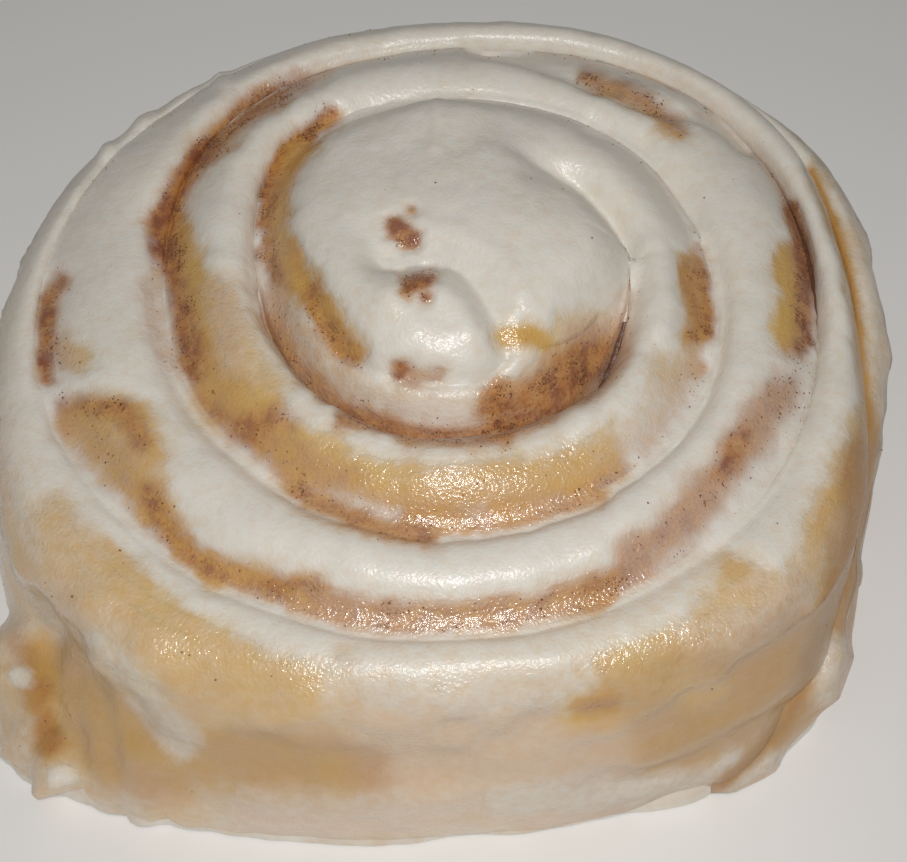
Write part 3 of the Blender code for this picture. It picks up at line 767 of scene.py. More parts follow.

# Icing: thickness in millimetres, half-width and path in pixels. A few strokes set how much icing
# tints the painted shade along creases, and one whitens the wall partly as a painted highlight
ICING = (
    # outer wall
    (0.10, 60, "120,700 300,745 600,745 760,650"),
    (0.04, 44, "90,690 170,735 280,762 360,768"),
    (0.05, 44, "640,750 720,715 770,680 805,620"),
    (0.08, 30, "300,800 430,798 540,792"),
    (0.16, 30, "800,600 830,540 850,480"),
    (0.04, 22, TAIL_SIDE),
    (0.3, 12, "858,235 872,290 878,340 880,420"),
    (0.09, 46, "105,570 170,630 250,685 320,705"),
    (0.14, 30, "60,520 80,590 100,640"),
    (0.13, 56, "400,722 520,716"),
    # thin icing laid thicker than it is so the wall shows lighter: partly a painted highlight
    (0.07, 38, "610,672 645,668 690,660"),
    (0.05, 30, "600,722 660,722 730,690"),
    (0.04, 24, "705,580 742,572"),
    (0.14, 34, "720,620 765,605"),
    (0.03, 24, "852,425 838,470 815,512"),
    (0.95, 15, "40,400 62,445 100,500 150,548 200,590 260,618 330,638"),
    (0.62, 24, "350,655 420,660 500,656 560,640 620,615 690,570"),
    (0.35, 16, "370,690 440,698 520,694 580,680"),
    (0.9, 34, "760,520 800,440 828,380 832,300"),
    (0.3, 14, "342,655 338,685 333,700"),
    (0.36, 17, "100,645 135,682 160,715 182,742"),
    (0.2, 16, "250,802 330,808 430,802 520,797 600,787"),
    (0.45, 13, "500,803 580,796 640,790 690,778 730,758"),
    (0.04, 26, "690,745 735,715 775,680 805,635"),
    (0.4, 14, "834,650 826,690"),
    (0.4, 15, "720,785 768,764"),
    (0.03, 9, TAIL_EDGE),
    (0.03, 24, "108,725 135,768 170,800"),
    (-0.8, 8, ORANGE_SMEAR),
    (0.04, 26, "60,660 85,720 110,775"),
    (0.0, 18, "36,650 44,700 48,745"),
    (0.9, 10, "62,776"),
    (0.8, 8, "20,676"),
    (0.02, 22, "230,742 300,757 370,766"),
    (0.0, 8, TAIL_CREASE),
    (0.04, 15, "884,440 876,500 862,560 846,615"),
    # painted shade: icing tinted purple-grey on the shaded side of the left crease
    (0.45, 12, LEFT_CREASE_SHADE),
    # third turn
    (0.0, 10, "64,280 52,300 45,340 47,380"),
    (0.14, 16, "68,350 80,360"),
    (0.02, 24, "75,420 110,412 138,422 150,455"),
    (0.08, 24, "95,440 125,470 150,500"),
    (0.02, 16, "152,490 160,518 180,545 208,570"),
    (0.02, 20, "215,572 265,582 310,592"),
    (0.07, 20, "310,602 360,612 420,618 480,616 540,606 590,592"),
    (0.02, 18, "590,590 615,578 635,560"),
    (0.17, 25, "640,552 680,520 715,480 745,440 775,395"),
    (0.02, 13, "722,470 742,436"),
    (-0.1, 18, "786,262 788,300 788,340"),
    (-0.1, 9, "791,210 800,238 805,280 803,340"),
    # second turn
    (0.3, 13, "322,76 285,90"),
    (0.0, 18, "268,99 240,120 205,152 178,188 160,225"),
    (-0.15, 23, "172,235 185,270 195,305 202,345 205,365"),
    (0.16, 26, "222,300 235,345 262,390"),
    (0.02, 32, "220,398 258,425 300,455"),
    (0.05, 31, "300,452 350,474 400,486 450,490 510,488 555,480 600,460"),
    (0.04, 15, "300,494 340,515 385,531 430,536"),
    (0.02, 14, "420,518 470,524 540,512 600,497"),
    (0.12, 16, "600,448 616,432"),
    (0.45, 26, "640,432 658,400 680,365"),
    # icing on the inner slope beside the opening, tinted darker by cinnamon: partly painted shade
    (0.6, 11, MIDDLE_SIDE),
    (-0.15, 17, "691,265 696,300 699,335"),
    (0.2, 16, "664,372 692,370"),
    (0.08, 13, "585,78 620,92 655,112 675,132"),
    # painted shade: a thin grey-purple line of tinted icing along the crease at the back
    (0.6, 5, BACK_CREASE_SHADE),
    # inner slope of the middle coil, at the left
    (0.0, 9, "334,113 312,133"),
    (-0.15, 17, "302,143 284,168 276,200 277,235 286,268"),
    (-0.15, 18, "290,268 312,300 330,328 348,352"),
    (0.20, 13, "278,302 292,328 310,352"),
    (0.38, 14, "296,330 325,370 370,392 420,402 478,402"),
    (0.1, 10, "268,318 282,345 300,370 328,398"),
    (0.04, 13, MIDDLE_FOOT),
    # wall of the middle coil, at the front right
    (0.02, 32, "592,345 566,370 538,396 515,412"),
    (0.0, 18, "500,388 500,408"),
    (0.0, 16, "508,335 530,335 550,340"),
    (0.22, 16, "562,328 598,325"),
    (0.0, 7, "412,210"),
    (0.04, 12, "396,226 412,240"),
    (0.0, 12, "407,286 428,281"),
    (0.0, 8, "426,298"),
    (0.0, 14, "402,371"),
    (0.2, 9, "415,378 440,374"),
)

# Cinnamon, and painted shade along a few creases: strength, half-width and path in pixels
CINNAMON_AND_SHADE = (
    (1.0, 12, "326,112 300,138 277,165 266,200 265,235 272,268 278,295"),
    (0.45, 10, "300,150 290,190 287,225 296,258 312,285"),
    (0.85, 14, "308,295 322,322 338,342 352,358"),
    (0.6, 12, "278,300 292,325 310,350"),
    (0.85, 9, "268,318 282,345 300,372 330,402"),
    (1.0, 13, MIDDLE_FOOT),
    (1.05, 26, "592,350 566,374 538,398 515,412"),
    (1.0, 12, "498,388 498,408"),
    # cinnamon tint that darkens the icing beside the opening, partly painted shade
    (0.6, 11, MIDDLE_SIDE),
    (0.5, 10, "645,310 640,350"),
    (0.25, 10, "508,337 530,337"),
    (0.65, 7, ORANGE_SMEAR),
    (0.8, 6, "412,210"),
    (1.3, 11, "396,226 412,240"),
    (1.3, 10, "407,286 428,281"),
    (1.2, 7, "426,298"),
    (1.3, 11, "402,371"),
    (0.7, 8, "415,378 440,374"),
    (1.0, 14, "300,83 268,99 240,120 205,152 178,188 158,225 153,260"),
    (1.2, 13, "165,240 172,280 185,320"),
    (1.3, 15, "190,325 202,362"),
    (0.35, 20, "215,300 225,380"),
    (1.0, 17, "248,433 284,421"),
    # cinnamon tint of the painted shade on the left crease
    (0.6, 12, LEFT_CREASE_SHADE),
    # cinnamon band made darker than its own colour: partly painted shade in the crease
    (1.6, 9, "205,150 178,186 160,222 155,250"),
    (0.55, 18, "285,440 310,470 350,480"),
    (0.85, 11, "300,494 340,513 385,529 430,536"),
    (0.5, 9, "450,524 520,516 600,500"),
    (0.25, 18, "450,480 540,478 600,455"),
    (0.75, 14, "690,272 696,300 700,337"),
    (0.9, 8, "702,275 709,305 708,340"),
    (0.85, 12, "585,76 620,88 655,106 680,128"),
    # cinnamon tint of the painted shade along the crease at the back
    (0.5, 6, BACK_CREASE_SHADE),
    (1.2, 8, "64,284 51,302 44,340 47,380 56,400"),
    (0.9, 13, "85,408 120,410 140,440"),
    (0.45, 22, "75,430 110,460 140,500"),
    (0.9, 11, "152,492 160,518 180,545 208,570"),
    (1.0, 14, "275,582 315,592"),
    (0.75, 15, "300,600 360,612 420,620 480,618 540,608 590,594"),
    (0.8, 8, "495,602 510,602"),
    (0.85, 13, "590,592 615,578 632,560"),
    (0.85, 20, "640,552 680,520 715,482 745,440 775,395 790,370"),
    (1.1, 10, "718,475 742,436"),
    (1.4, 8, "792,206 801,238 806,280 804,345"),
    (0.7, 10, "42,690 48,720 50,745"),
    (0.4, 12, "16,640 22,660"),
    (0.1, 26, "855,425 835,480 800,540"),
)

# Golden tint of the bare dough: strength, half-width and path in pixels
GOLDEN = (
    (1.0, 26, "300,150 287,220 312,285 340,345"),
    (1.0, 26, "505,335 550,340"),
    (1.0, 30, "175,240 200,340 260,420 350,470 450,485 600,460"),
    (1.0, 18, "812,172 843,252 858,330 865,399 870,490 850,560 820,649 787,720"),
    (1.0, 20, "692,265 700,335"),
    (1.0, 24, "110,412 160,520 290,585"),
    (1.0, 20, "786,262 788,342"),
    (0.8, 44, "95,545 160,615 240,672 310,700"),
    (1.0, 36, "100,700 170,745 280,765 350,768"),
    (0.9, 36, "670,750 735,718 790,670"),
    (0.9, 40, "60,690 100,750"),
    (0.95, 40, "612,665 690,670"),
    (0.95, 30, "705,578 740,570"),
    (1.0, 40, "855,430 815,515"),
    (0.1, 40, "640,552 715,480 775,395"),
    (0.3, 60, "400,745 560,745"),
    (1.2, 14, "578,706 612,703"),
)

# Browned dough, and painted shade on the side of the strip's end: strength, half-width and path in
# pixels
BROWNED_AND_SHADE = (
    (0.36, 35, "110,740 170,757 280,772 360,772"),
    (0.45, 32, "680,768 725,740 775,704 812,650"),
    (0.2, 16, "682,690 715,690"),
    (0.08, 30, "450,745 600,745"),
    (0.55, 8, TAIL_CREASE),
    # these two: darker bare dough on the side of the strip's end, partly painted shade where that
    # side turns from the light
    (0.55, 15, "882,440 874,500 860,560 842,620"),
    (0.6, 18, "864,450 858,510 846,570"),
    (0.45, 18, "15,640 36,690 40,745"),
    (0.34, 30, "70,650 110,720 140,780"),
    (0.35, 20, "235,745 300,757 350,764"),
    (0.22, 12, "692,268 698,335"),
    # darker bare dough on the side of the strip's end, partly painted shade
    (0.7, 18, TAIL_SIDE),
    (0.2, 14, "868,260 880,330 882,380"),
    # darker dough along the outline of the strip's end, partly painted shade at its edge
    (0.7, 8, TAIL_EDGE),
)

# Strokes of each field, how much their edges wobble and how soft they are in pixels
STROKES = {
    "icing": (ICING, 1.0, 3.0),
    "cinnamon": (CINNAMON_AND_SHADE, 1.0, 4.0),
    "golden": (GOLDEN, 2.0, 10.0),
    "browned": (BROWNED_AND_SHADE, 1.0, 5.0),
}


def facing_camera(points, normals):
    """How well the camera sees each point, from 0 on what is turned away to 1."""
    toward = CAMERA_PLACE - points
    toward /= np.linalg.norm(toward, axis=1, keepdims=True)
    return ramp(np.sum(normals * toward, axis=1), *FACING)


def painted(base, strokes, places, seen, wobble, softness):
    """Field with strokes painted over it, each with a soft and slightly ragged edge."""
    field = base.copy()
    near = seen > 0.0
    for value, width, path in strokes:
        away = stroke_distance(places[near], path) + wobble[near] * min(1.0, width / WOBBLE_WIDTH)
        soft = softness + STROKE_SOFTNESS * width
        share = (1.0 - ramp(away, width - soft, width + soft)) * seen[near]
        field[near] += (value - field[near]) * share
    return field


def add_relief(swirl, cells):
    """Gives the smooth swirl the dough's lumps, folds and dents."""
    points = swirl.points
    normals = point_normals(points, cells)
    places = in_photo(points)
    seen = facing_camera(points, normals)
    wall = swirl.zone == WALL
    outwards = ramp(swirl.share, *RIM_BEGINS)
    rim = (swirl.turn > CREASE_TURNS) * outwards * (1.0 - ramp(swirl.share, *RIM_ENDS))
    torn = corner_bulge(swirl.turn, points[:, 2]) / CORNER_BULGE * wall
    height = soft_noise(points, DOUGH_LUMPS)
    height += wall * soft_noise(points * WALL_SQUASH, WALL_LUMPS)
    height += rim * soft_noise(points, RIM_LUMPS)
    height += torn * soft_noise(points * TORN_STRETCH, TORN_FOLDS)
    height += torn * soft_noise(points, TORN_CRUMB)
    for rise, width, path in RELIEF:
        away = stroke_distance(places, path)
        height += rise * np.exp(-(away / width) ** 2) * seen
    sideways = (swirl.turn > CREASE_TURNS - WALL_START) * outwards
    direction = between(np.array((0.0, 0.0, 1.0)), normals, sideways[:, None])
    direction[:, 2] *= ramp(points[:, 2], 0.0, RELIEF_FOOT)
    swirl.points = points + direction * (MM * height)[:, None]
    swirl.points[:, 2] = np.maximum(swirl.points[:, 2], 0.0)


def drips(swirl):
    """Icing that has run down the wall in tongues of different lengths."""
    length = DRIP_LENGTH + soft_noise(plan(swirl.turn, DRIP_SPACING, 0.0), DRIP_LENGTHS)
    on_side = ramp(swirl.turn, *WALL_BEGINS) * ramp(swirl.share, *DRIP_SHARE)
    ended = ramp(swirl.share - 1.0, length - DRIP_TIP[0], length + DRIP_TIP[1])
    return DRIP_THICKNESS * (1.0 - ended) * on_side


def crease_fill(turn):
    """Share of the crease that icing fills, at a place along it."""
    return np.clip(smooth_through(CREASE_FILL, EIGHTHS * turn), 0.0, 1.0)


def smoothed_heights(swirl):
    """Heights with the creases smoothed out along each line from the middle."""
    spread = np.arange(-BLUR_STEPS, BLUR_STEPS + 1) * BLUR_STEP
    kernel = np.exp(-0.5 * (spread / ICING_BLUR) ** 2)
    kernel /= kernel.sum()
    reach = np.arange(0.0, BLUR_REACH, BLUR_STEP)
    result = swirl.points[:, 2].copy()
    rows = np.full((STRIP_STEPS + 1, COIL_CELLS + CREASE_CELLS), -1)
    rows[:, :COIL_CELLS] = swirl.strip[:, 1:]
    rows[STEPS + 1:, COIL_CELLS] = swirl.strip[STEPS + 1:, 0]
    rows[:WALL_STEP + 1, COIL_CELLS + 1:] = swirl.crease[:, 1:-1]
    for step in range(STEPS):
        line = np.concatenate((swirl.core[:, step], rows[step::STEPS].ravel()))
        line = line[line >= 0]
        radius = np.hypot(swirl.points[line, 0], swirl.points[line, 1])
        order = np.argsort(radius)
        profile = np.interp(reach, radius[order], swirl.points[line[order], 2])
        padded = np.pad(profile, len(spread) // 2, mode="edge")
        result[line] = np.interp(radius, reach, np.convolve(padded, kernel, mode="valid"))
    return result


def bridge_creases(swirl):
    """Points of the surface with its creases filled as far as icing closes them, and that share."""
    turn, share = swirl.turn, swirl.share
    outer_fill = ramp(share, *BRIDGE_SHARE) * crease_fill(turn)
    inner_fill = ramp(1.0 - share, *BRIDGE_SHARE) * crease_fill(turn - 1.0) * (turn > 1.0)
    fill = np.where(swirl.zone == CREASE, crease_fill(turn), np.maximum(outer_fill, inner_fill))
    fill *= np.isin(swirl.zone, (STRIP, CREASE))
    fill *= 1.0 - ramp(turn, *FREE_BRIDGE_TURNS) * ramp(share, *FREE_BRIDGE_SHARE)
    bridged = swirl.points.copy()
    bridged[:, 2] += fill * np.maximum(0.0, smoothed_heights(swirl) - bridged[:, 2])
    return bridged, fill


def bare_by_tail(turn, share):
    """Where icing is scarce: along the strip's end and on the turn beside it."""
    begins, ends = BESIDE_TAIL_TURNS
    beside = ramp(turn, *begins) * (1.0 - ramp(turn, *ends)) * ramp(share, *BESIDE_TAIL_SHARE)
    return np.maximum(beside, ramp(turn, *STRIP_END_TURNS))


def make_fields(swirl, points, cells):
    """What lies where: icing thickness, cinnamon, golden and browned dough, at each point; the
    cinnamon and browned fields also carry painted shade.
    """
    turn, share = swirl.turn, swirl.share
    places = in_photo(points)
    seen = facing_camera(points, point_normals(points, cells))
    wobble = soft_noise(points, PAINT_WOBBLE)
    on_last = ramp(turn, *WALL_BEGINS)
    on_coil = (swirl.zone == STRIP) * (1.0 - on_last)
    in_crease = swirl.zone == CREASE
    open_crease = 1.0 - ramp(crease_fill(turn), *OPEN_FILL)
    scarce = bare_by_tail(turn, share)

    icing = DEFAULT_ICING + soft_noise(points, ICING_LUMPS)
    patchy = WALL_ICING + soft_noise(points, WALL_PATCHES)
    icing = between(icing, patchy, on_last * ramp(share, *WALL_ICING_SHARE))
    icing *= 1.0 - SCARCE_LOSS * scarce
    icing *= 1.0 - THINNER_LOSS * ramp(turn, *THINNER_TURNS) * ramp(share, *THINNER_SHARE)
    outer_side = ramp(share, *OUTER_SIDE[:2]) * (1.0 - crease_fill(turn))
    inner_side = ramp(1.0 - share, *INNER_SIDE[:2]) * (1.0 - crease_fill(turn - 1.0)) * (turn > 1.0)
    icing *= 1.0 - on_coil * np.maximum(OUTER_SIDE[2] * outer_side, INNER_SIDE[2] * inner_side)
    icing *= 1.0 - open_crease * in_crease
    icing += drips(swirl) * (1.0 - seen)

    cinnamon = SIDE_CINNAMON * ramp(share, *SIDE_CINNAMON_SHARE) * on_coil
    cinnamon *= 1.0 - ramp(turn, *SIDE_CINNAMON_ENDS)
    cinnamon = np.where(in_crease, between(*CREASE_CINNAMON, open_crease), cinnamon)
    golden = USUAL_GOLDEN + soft_noise(points, GOLDEN_PATCHES)
    low_wall = (swirl.zone == WALL) * ramp(share, *LOW_WALL) * (1.0 - LOW_WALL_SEEN * seen)
    browned = LOW_WALL_BROWNED * low_wall + SCARCE_BROWNED * scarce
    fields = {"icing": icing, "cinnamon": cinnamon, "golden": golden, "browned": browned}
    for name, (strokes, raggedness, softness) in STROKES.items():
        field = painted(fields[name], strokes, places, seen, raggedness * wobble, softness)
        fields[name] = np.clip(field, 0.0, FIELD_LIMIT)
    return fields


# Pieces

def add_object(name, data):
    item = bpy.data.objects.new(name, data)
    bpy.context.scene.collection.objects.link(item)
    return item


def add_piece(name, points, cells, material, fields=None):
    """Object from points and cells, with its faces turned outwards, that rides on the roll."""
    mesh = bmesh.new()
    verts = [mesh.verts.new(point) for point in points]
    for cell in cells:
        ring = list(dict.fromkeys(cell))
        if len(ring) > 2:
            mesh.faces.new([verts[index] for index in ring])
    bmesh.ops.recalc_face_normals(mesh, faces=mesh.faces[:])
    data = bpy.data.meshes.new(name)
    mesh.to_mesh(data)
    mesh.free()
    for field, values in (fields or {}).items():
        attribute = data.attributes.new(field, "FLOAT", "POINT")
        attribute.data.foreach_set("value", np.asarray(values, np.float32))
    data.materials.append(material)
    data.shade_smooth()
    data.set_sharp_from_angle(angle=SHARP_ANGLE)
    piece = add_object(name, data)
    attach(piece, "root")
    return piece


def make_dough(swirl, fields, material):
    """The rolled strip of dough, without the points that only span the creases."""
    cells = swirl.dough_cells()
    used = np.unique(np.concatenate([np.array(cell) for cell in cells]))
    number = new_numbers(used, len(swirl.points))
    cells = [number[cell].tolist() for cell in cells]
    kept = {name: values[used] for name, values in fields.items()}
    piece = add_piece("rolled_dough", swirl.points[used], cells, material, kept)
    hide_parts("dough")


def icing_surface(swirl, bridged, fill, cells, thickness):
    """Upper side of the icing, and how far it stands above the dough it lies on."""
    normals = point_normals(bridged, cells)
    rise = ICING_RISE * (MM * thickness - FILM)
    rise = np.maximum(rise, np.where(fill > 0.0, fill * BRIDGE_RISE, -BARE_SINK))
    rise = np.maximum(rise, np.where(swirl.zone == CORE, LEAST_RISE, -BARE_SINK))
    ripple = MM * soft_noise(swirl.points, ICING_RIPPLE)
    return bridged + normals * (rise + ripple)[:, None], rise


def make_icing(swirl, cells, top, rise, fields, material):
    """Icing as one closed body whose thin edges dip into the dough."""
    points = swirl.points
    under = points - point_normals(points, cells) * ICING_UNDER
    high_enough = points[:, 2] > ICING_LOWEST
    kept = cells[(rise[cells].max(axis=1) > -LEAST_RISE) & high_enough[cells].all(axis=1)]
    edges = np.concatenate([kept[:, [side, (side + 1) % 4]] for side in range(4)])
    edges = edges[edges[:, 0] != edges[:, 1]]
    sorted_ends = np.sort(edges, axis=1)
    place, count = np.unique(sorted_ends, axis=0, return_index=True, return_counts=True)[1:]
    rim = edges[place[count == 1]]
    used = np.unique(kept)
    number = new_numbers(used, len(points))
    upper, lower = number[kept], number[kept] + len(used)
    sides = np.stack((number[rim[:, 0]], number[rim[:, 1]],
                      number[rim[:, 1]] + len(used), number[rim[:, 0]] + len(used)), axis=1)
    body = np.concatenate((upper, lower[:, ::-1], sides)).tolist()
    both = {name: np.tile(values[used], 2) for name, values in fields.items()}
    piece = add_piece("sugar_icing", np.concatenate((top[used], under[used])), body, material, both)
    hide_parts("icing")


def make_filling(swirl, material):
    """Ribbon of cinnamon filling that stands in the crease and follows it all the way."""
    steps = np.arange(FILLING_ENDS[0], CREASE_STEPS - FILLING_ENDS[1], 2)
    turn = steps / STEPS
    inside = swirl.points[swirl.strip[steps, -1]][:, 2]
    outside = swirl.points[swirl.strip[steps + STEPS, 0]][:, 2]
    top = np.minimum(inside, outside) - FILLING_DEPTH
    lines = []
    for across, drop in FILLING_SECTION:
        height = FILLING_FLOOR_GAP if drop is None else top - drop * MM
        points = plan(turn, crease_radius(turn) + across * MM, height)
        points[:, 2] += MM * soft_noise(points, FILLING_RIPPLE) * (drop == 0.0)
        lines.append(points)
    points = np.stack(lines, axis=1)
    loop = closed_rows(points)
    cells = grid_cells(loop).tolist() + loop[[0, -1], :-1].tolist()
    piece = add_piece("cinnamon_ribbon", points.reshape(-1, 3), cells, material)
    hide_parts("cinnamon_filling")


def make_pool(swirl, material):
    """Ring of icing that has run down and set round the foot of the roll."""
    turn = CREASE_TURNS + np.arange(STEPS)[:, None] / STEPS
    edge = swirl.points[swirl.wall[CREASE_STEPS - WALL_STEP:, -1]]
    foot = np.hypot(edge[:, 0], edge[:, 1])[:, None]
    past_tail = 1.0 - ramp(turn, CREASE_TURNS, CREASE_TURNS + POOL_TAIL_TURNS)
    foot = between(foot[:-1], foot[-1], past_tail)
    place = SIXTEENTHS * (turn % 1.0)
    ragged = MM * soft_noise(plan(turn, foot, 0.0)[:, 0], POOL_EDGE)[:, None]
    reach = smooth_through(np.append(POOL_REACH, POOL_REACH[:2]), place) + ragged
    height = smooth_through(np.append(POOL_HEIGHT, POOL_HEIGHT[:2]), place) + 2.0 * ragged
    height = np.maximum(height, POOL_LEAST_HEIGHT)
    angle = np.linspace(0.0, math.pi / 2.0, POOL_CELLS + 1)[None, :]
    radius = foot - POOL_ROOT + (reach + POOL_ROOT) * np.cos(angle)
    points = plan(turn, radius, height * np.sin(angle))
    inner = plan(turn, foot - POOL_ROOT, 0.0)
    points = np.concatenate((points, inner), axis=1)
    loop = closed_rows(points)
    cells = grid_cells(np.concatenate((loop, loop[:1])))
    points = points.reshape(-1, 3)
    fields = {name: np.full(len(points), value) for name, value in POOL_LOOK.items()}
    fields["icing"] += soft_noise(points, POOL_ICING)
    fields["cinnamon"] += soft_noise(points, POOL_CINNAMON)
    add_piece("icing_pool", points, cells.tolist(), material, fields)


def make_grains(swirl, cells, surface, fields, material):
    """Cinnamon grains, thickest where the filling shows, as one mesh of small eight-sided bodies."""
    rng = np.random.default_rng(GRAIN_SEED)
    corners = surface[cells]
    middle = corners.mean(axis=1)
    diagonals = corners[:, 2:] - corners[:, :2]
    area = np.linalg.norm(np.cross(diagonals[:, 0], diagonals[:, 1]), axis=1)
    clump = GRAIN_LEAST_CLUMP + ramp(soft_noise(middle, GRAIN_CLUMPS), 0.0, 1.0) ** GRAIN_CLUMP_POWER
    cinnamon = fields["cinnamon"][cells].mean(axis=1)
    bare = np.exp(-GRAIN_BARE_POWER * fields["icing"][cells].mean(axis=1))
    spiced = np.minimum(cinnamon, 1.0) ** GRAIN_CINNAMON_POWER
    weight = area * (GRAIN_SCATTER + spiced * bare * clump)
    chosen = rng.choice(len(cells), GRAINS, p=weight / weight.sum())
    share = rng.dirichlet((1.0, 1.0, 1.0, 1.0), GRAINS)
    place = np.einsum("nc,ncd->nd", share, corners[chosen])
    seen = np.flatnonzero(facing_camera(surface, point_normals(surface, cells)) > WELL_SEEN)
    pixels = in_photo(surface[seen])
    single = path_points(SINGLE_GRAINS)
    for number, pixel in enumerate(single):
        place[number] = surface[seen[np.argmin(np.linalg.norm(pixels - pixel, axis=1))]]
    low, high = GRAIN_RADII
    radius = between(low, high, rng.random(GRAINS) ** GRAIN_SIZE_POWER)
    radius[:len(single)] = high
    axes = np.linalg.qr(rng.normal(size=(GRAINS, 3, 3)))[0]
    axes *= rng.uniform(*GRAIN_PROPORTIONS, (GRAINS, 3, 1))
    tips = np.concatenate((axes, -axes), axis=1) * radius[:, None, None]
    points = place[:, None] + tips
    points[..., 2] = np.maximum(points[..., 2], 0.0)
    faces = np.array([(a, b, c) for a in (0, 3) for b in (1, 4) for c in (2, 5)])
    faces = (np.arange(GRAINS)[:, None, None] * GRAIN_TIPS + faces).reshape(-1, 3)
    shades = {"shade": np.repeat(rng.random(GRAINS), GRAIN_TIPS)}
    points = points.reshape(-1, 3)
    add_piece("cinnamon_grains", points, faces.tolist(), material, shades)


# Materials

class Shader:
    """Short way to build a material's nodes."""

    def __init__(self, name):
        self.material = bpy.data.materials.new(name)
        self.material.use_nodes = True
        self.tree = self.material.node_tree
        self.surface = self.tree.nodes["Principled BSDF"]
        self.place = self.tree.nodes.new("ShaderNodeTexCoord").outputs["Object"]

    def put(self, socket, value):
        if isinstance(value, bpy.types.NodeSocket):
            self.tree.links.new(value, socket)
        else:
            socket.default_value = value

    def set(self, **values):
        for name, value in values.items():
            self.put(self.surface.inputs[name.replace("_", " ")], value)

    def attribute(self, name):
        node = self.tree.nodes.new("ShaderNodeAttribute")
        node.attribute_name = name
        return node.outputs["Fac"]

    def maths(self, operation, *values, clamp=False):
        node = self.tree.nodes.new("ShaderNodeMath")
        node.operation = operation
        node.use_clamp = clamp
        for socket, value in zip(node.inputs, values):
            self.put(socket, value)
        return node.outputs[0]

    def times(self, *values, clamp=False):
        return self.maths("MULTIPLY", *values, clamp=clamp)

    def spread(self, value, low, high, new_low=0.0, new_high=1.0):
        """The value moved smoothly from one range into another."""
        node = self.tree.nodes.new("ShaderNodeMapRange")
        node.interpolation_type = "SMOOTHSTEP"
        for socket, number in zip(node.inputs, (value, low, high, new_low, new_high)):
            self.put(socket, number)
        return node.outputs[0]

    def noise(self, size, detail=2.0):
        node = self.tree.nodes.new("ShaderNodeTexNoise")
        self.put(node.inputs["Vector"], self.place)
        node.inputs["Scale"].default_value = 1.0 / size
        node.inputs["Detail"].default_value = detail
        return node.outputs["Fac"]

    def mix(self, share, first, second):
        node = self.tree.nodes.new("ShaderNodeMix")
        node.data_type = "RGBA"
        for number, value in zip(MIX_INPUTS, (share, first, second)):
            self.put(node.inputs[number], (*value, 1.0) if isinstance(value, tuple) else value)
        return node.outputs[MIX_OUTPUT]

    def bump(self, height, distance):
        node = self.tree.nodes.new("ShaderNodeBump")
        node.inputs["Strength"].default_value = 1.0
        node.inputs["Distance"].default_value = distance
        self.put(node.inputs["Height"], height)
        self.set(Normal=node.outputs[0], Coat_Normal=node.outputs[0])


def glazed_material(name):
    """Dough under more or less icing, by the fields that the mesh carries."""
    shader = Shader(name)
    icing, cinnamon, golden, browned = (shader.attribute(field) for field in STROKES)
    fine, broad = shader.noise(FINE_SIZE), shader.noise(BROAD_SIZE)
    middle, blotches = shader.noise(MIDDLE_SIZE, MORE_DETAIL), shader.noise(BLOTCH_SIZE, MORE_DETAIL)

    dough = shader.mix(shader.spread(golden, *GOLDEN_FADE), PALE_DOUGH, GOLDEN_DOUGH)
    dough = shader.mix(shader.spread(broad, *WARM_FADE), dough, WARM_DOUGH)
    # browned dough, and painted shade on the side of the strip's end
    dough = shader.mix(browned, dough, BROWNED_DOUGH_AND_SHADE)
    mottle = shader.spread(middle, *STAIN_MOTTLE)
    mottle = shader.maths("ADD", mottle, shader.spread(fine, *STAIN_FINE))
    stain = shader.times(cinnamon, mottle, clamp=True)
    blotch = shader.spread(blotches, *BLOTCH_FADE)
    blotch = shader.times(blotch, cinnamon, clamp=True)
    spice = shader.mix(blotch, CINNAMON_ORANGE, CINNAMON_BROWN)
    dough = shader.mix(stain, dough, spice)

    uneven = shader.times(icing, shader.spread(middle, *UNEVEN_ICING))
    shows = shader.maths("EXPONENT", shader.times(uneven, -ICING_OPACITY))
    cover = shader.maths("SUBTRACT", 1.0, shows)
    # icing stained by cinnamon, which along a few creases is painted shade
    stain_and_shade = shader.times(cinnamon, shader.spread(icing, *STAIN_AND_SHADE_FADE))
    shader.set(Base_Color=shader.mix(cover, dough, shader.mix(stain_and_shade, ICING_WHITE, STAINED_AND_SHADED_ICING)))
    rough = shader.spread(icing, *THIN_ICING, *ROUGHNESS)
    shader.set(Roughness=shader.maths("ADD", rough, shader.spread(middle, *ROUGHNESS_MOTTLE)))
    moist = shader.maths("MULTIPLY_ADD", browned, -BROWNED_DRYNESS, 1.0, clamp=True)
    wetness = shader.times(shader.spread(icing, *THIN_ICING, *COAT_WEIGHT), moist)
    shader.set(Specular_IOR_Level=shader.times(moist, SPECULAR), Coat_Weight=wetness)
    shader.set(Coat_Roughness=shader.spread(icing, *THIN_ICING, *COAT_ROUGHNESS))
    shader.set(Subsurface_Weight=LIGHT_SHARE, Subsurface_Radius=LIGHT_SCATTER)
    shader.set(Subsurface_Scale=LIGHT_DEPTH)
    grainy = shader.spread(icing, *BUMPS_UNDER_ICING)
    ripple = shader.maths("MULTIPLY_ADD", middle, MIDDLE_BUMPS, fine)
    shader.bump(shader.times(ripple, grainy), GLAZE_BUMPS)
    return shader.material


def filling_material():
    shader = Shader("cinnamon_filling")
    shader.set(Base_Color=shader.mix(shader.noise(FILLING_GRAIN), *FILLING_COLOURS))
    shader.set(Roughness=FILLING_ROUGHNESS)
    shader.bump(shader.noise(FINE_SIZE), FILLING_BUMPS)
    return shader.material


def grain_material():
    shader = Shader("cinnamon_grains")
    shader.set(Base_Color=shader.mix(shader.attribute("shade"), GRAIN_DARK, GRAIN_BROWN))
    shader.set(Roughness=GRAIN_ROUGHNESS)
    return shader.material


def floor_material():
    shader = Shader("pale_floor")
    shader.set(Base_Color=FLOOR_COLOUR, Roughness=FLOOR_ROUGHNESS)
    return shader.material


# Stage

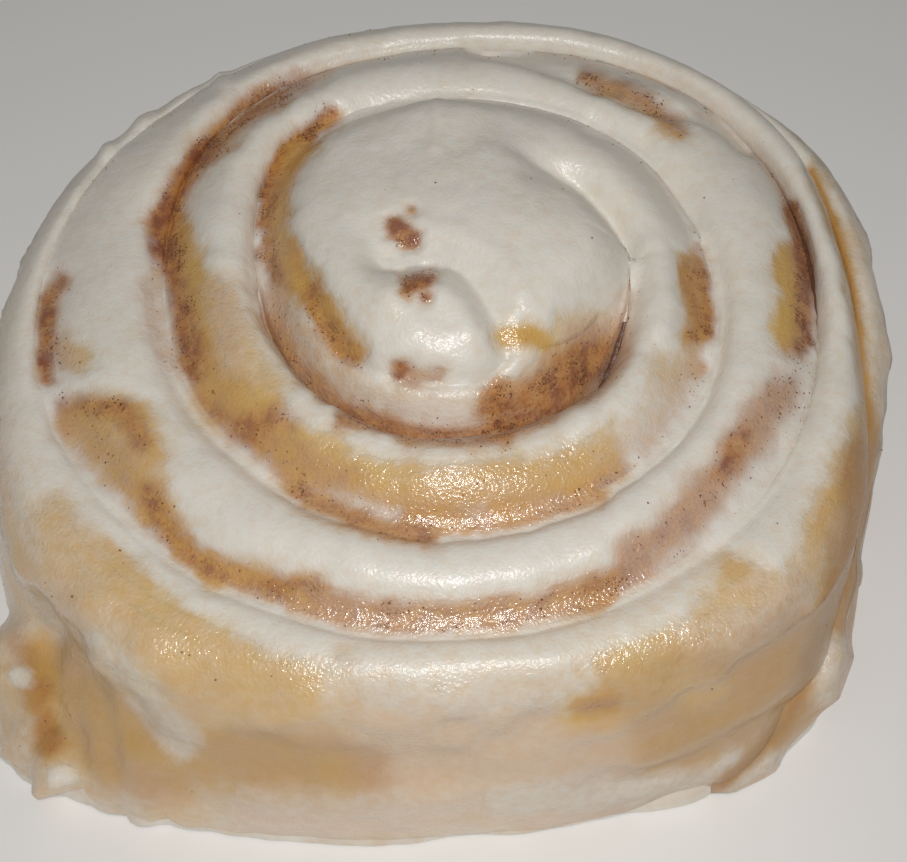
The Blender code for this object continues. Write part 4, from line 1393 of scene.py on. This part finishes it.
def make_stage():
    floor = bpy.data.meshes.new("floor")
    corners = [(x * FLOOR_HALF, y * FLOOR_HALF, 0.0) for x, y in ((-1, -1), (1, -1), (1, 1), (-1, 1))]
    floor.from_pydata(corners, [], [(0, 1, 2, 3)])
    floor.materials.append(floor_material())
    piece = add_object("floor", floor)
    piece.location.z = -FLOOR_GAP


def add_light(name, place, target, size, spread, power):
    light = bpy.data.lights.new(name, "AREA")
    light.shape = "DISK"
    light.size = size
    light.spread = spread
    light.energy = power
    lamp = add_object(name, light)
    lamp.location = place
    lamp.rotation_euler = (Vector(target) - Vector(place)).to_track_quat("-Z", "Y").to_euler()


def make_camera():
    data = bpy.data.cameras.new("camera")
    data.sensor_width = SENSOR_WIDTH
    data.lens = SENSOR_WIDTH * FOCAL_PIXELS / PHOTO_SIZE[0]
    data.clip_start = NEAREST_SEEN
    camera = add_object("camera", data)
    camera.location = CAMERA_PLACE
    camera.rotation_euler = Vector(VIEW_DIRECTION).to_track_quat("-Z", "Y").to_euler()
    bpy.context.scene.camera = camera


def make_light():
    world = bpy.data.worlds.new("soft light")
    world.use_nodes = True
    background = world.node_tree.nodes["Background"]
    background.inputs["Color"].default_value = WORLD_COLOUR
    background.inputs["Strength"].default_value = WORLD_STRENGTH
    bpy.context.scene.world = world
    add_light("key", KEY_PLACE, KEY_TARGET, KEY_SIZE, KEY_SPREAD, KEY_POWER)
    bpy.context.scene.view_settings.view_transform = "Standard"


def main():
    swirl = Swirl()
    cells = swirl.outer_cells()
    add_relief(swirl, cells)
    bridged, fill = bridge_creases(swirl)
    fields = make_fields(swirl, bridged, cells)
    top, rise = icing_surface(swirl, bridged, fill, cells, fields["icing"])
    icing = glazed_material("sugar_icing")
    make_dough(swirl, fields, glazed_material("glazed_dough"))
    make_icing(swirl, cells, top, rise, fields, icing)
    make_filling(swirl, filling_material())
    make_pool(swirl, icing)
    surface = np.where(rise[:, None] > 0.0, top, swirl.points)
    make_grains(swirl, cells, surface, fields, grain_material())
    make_camera()
    make_light()
    make_stage()


main()
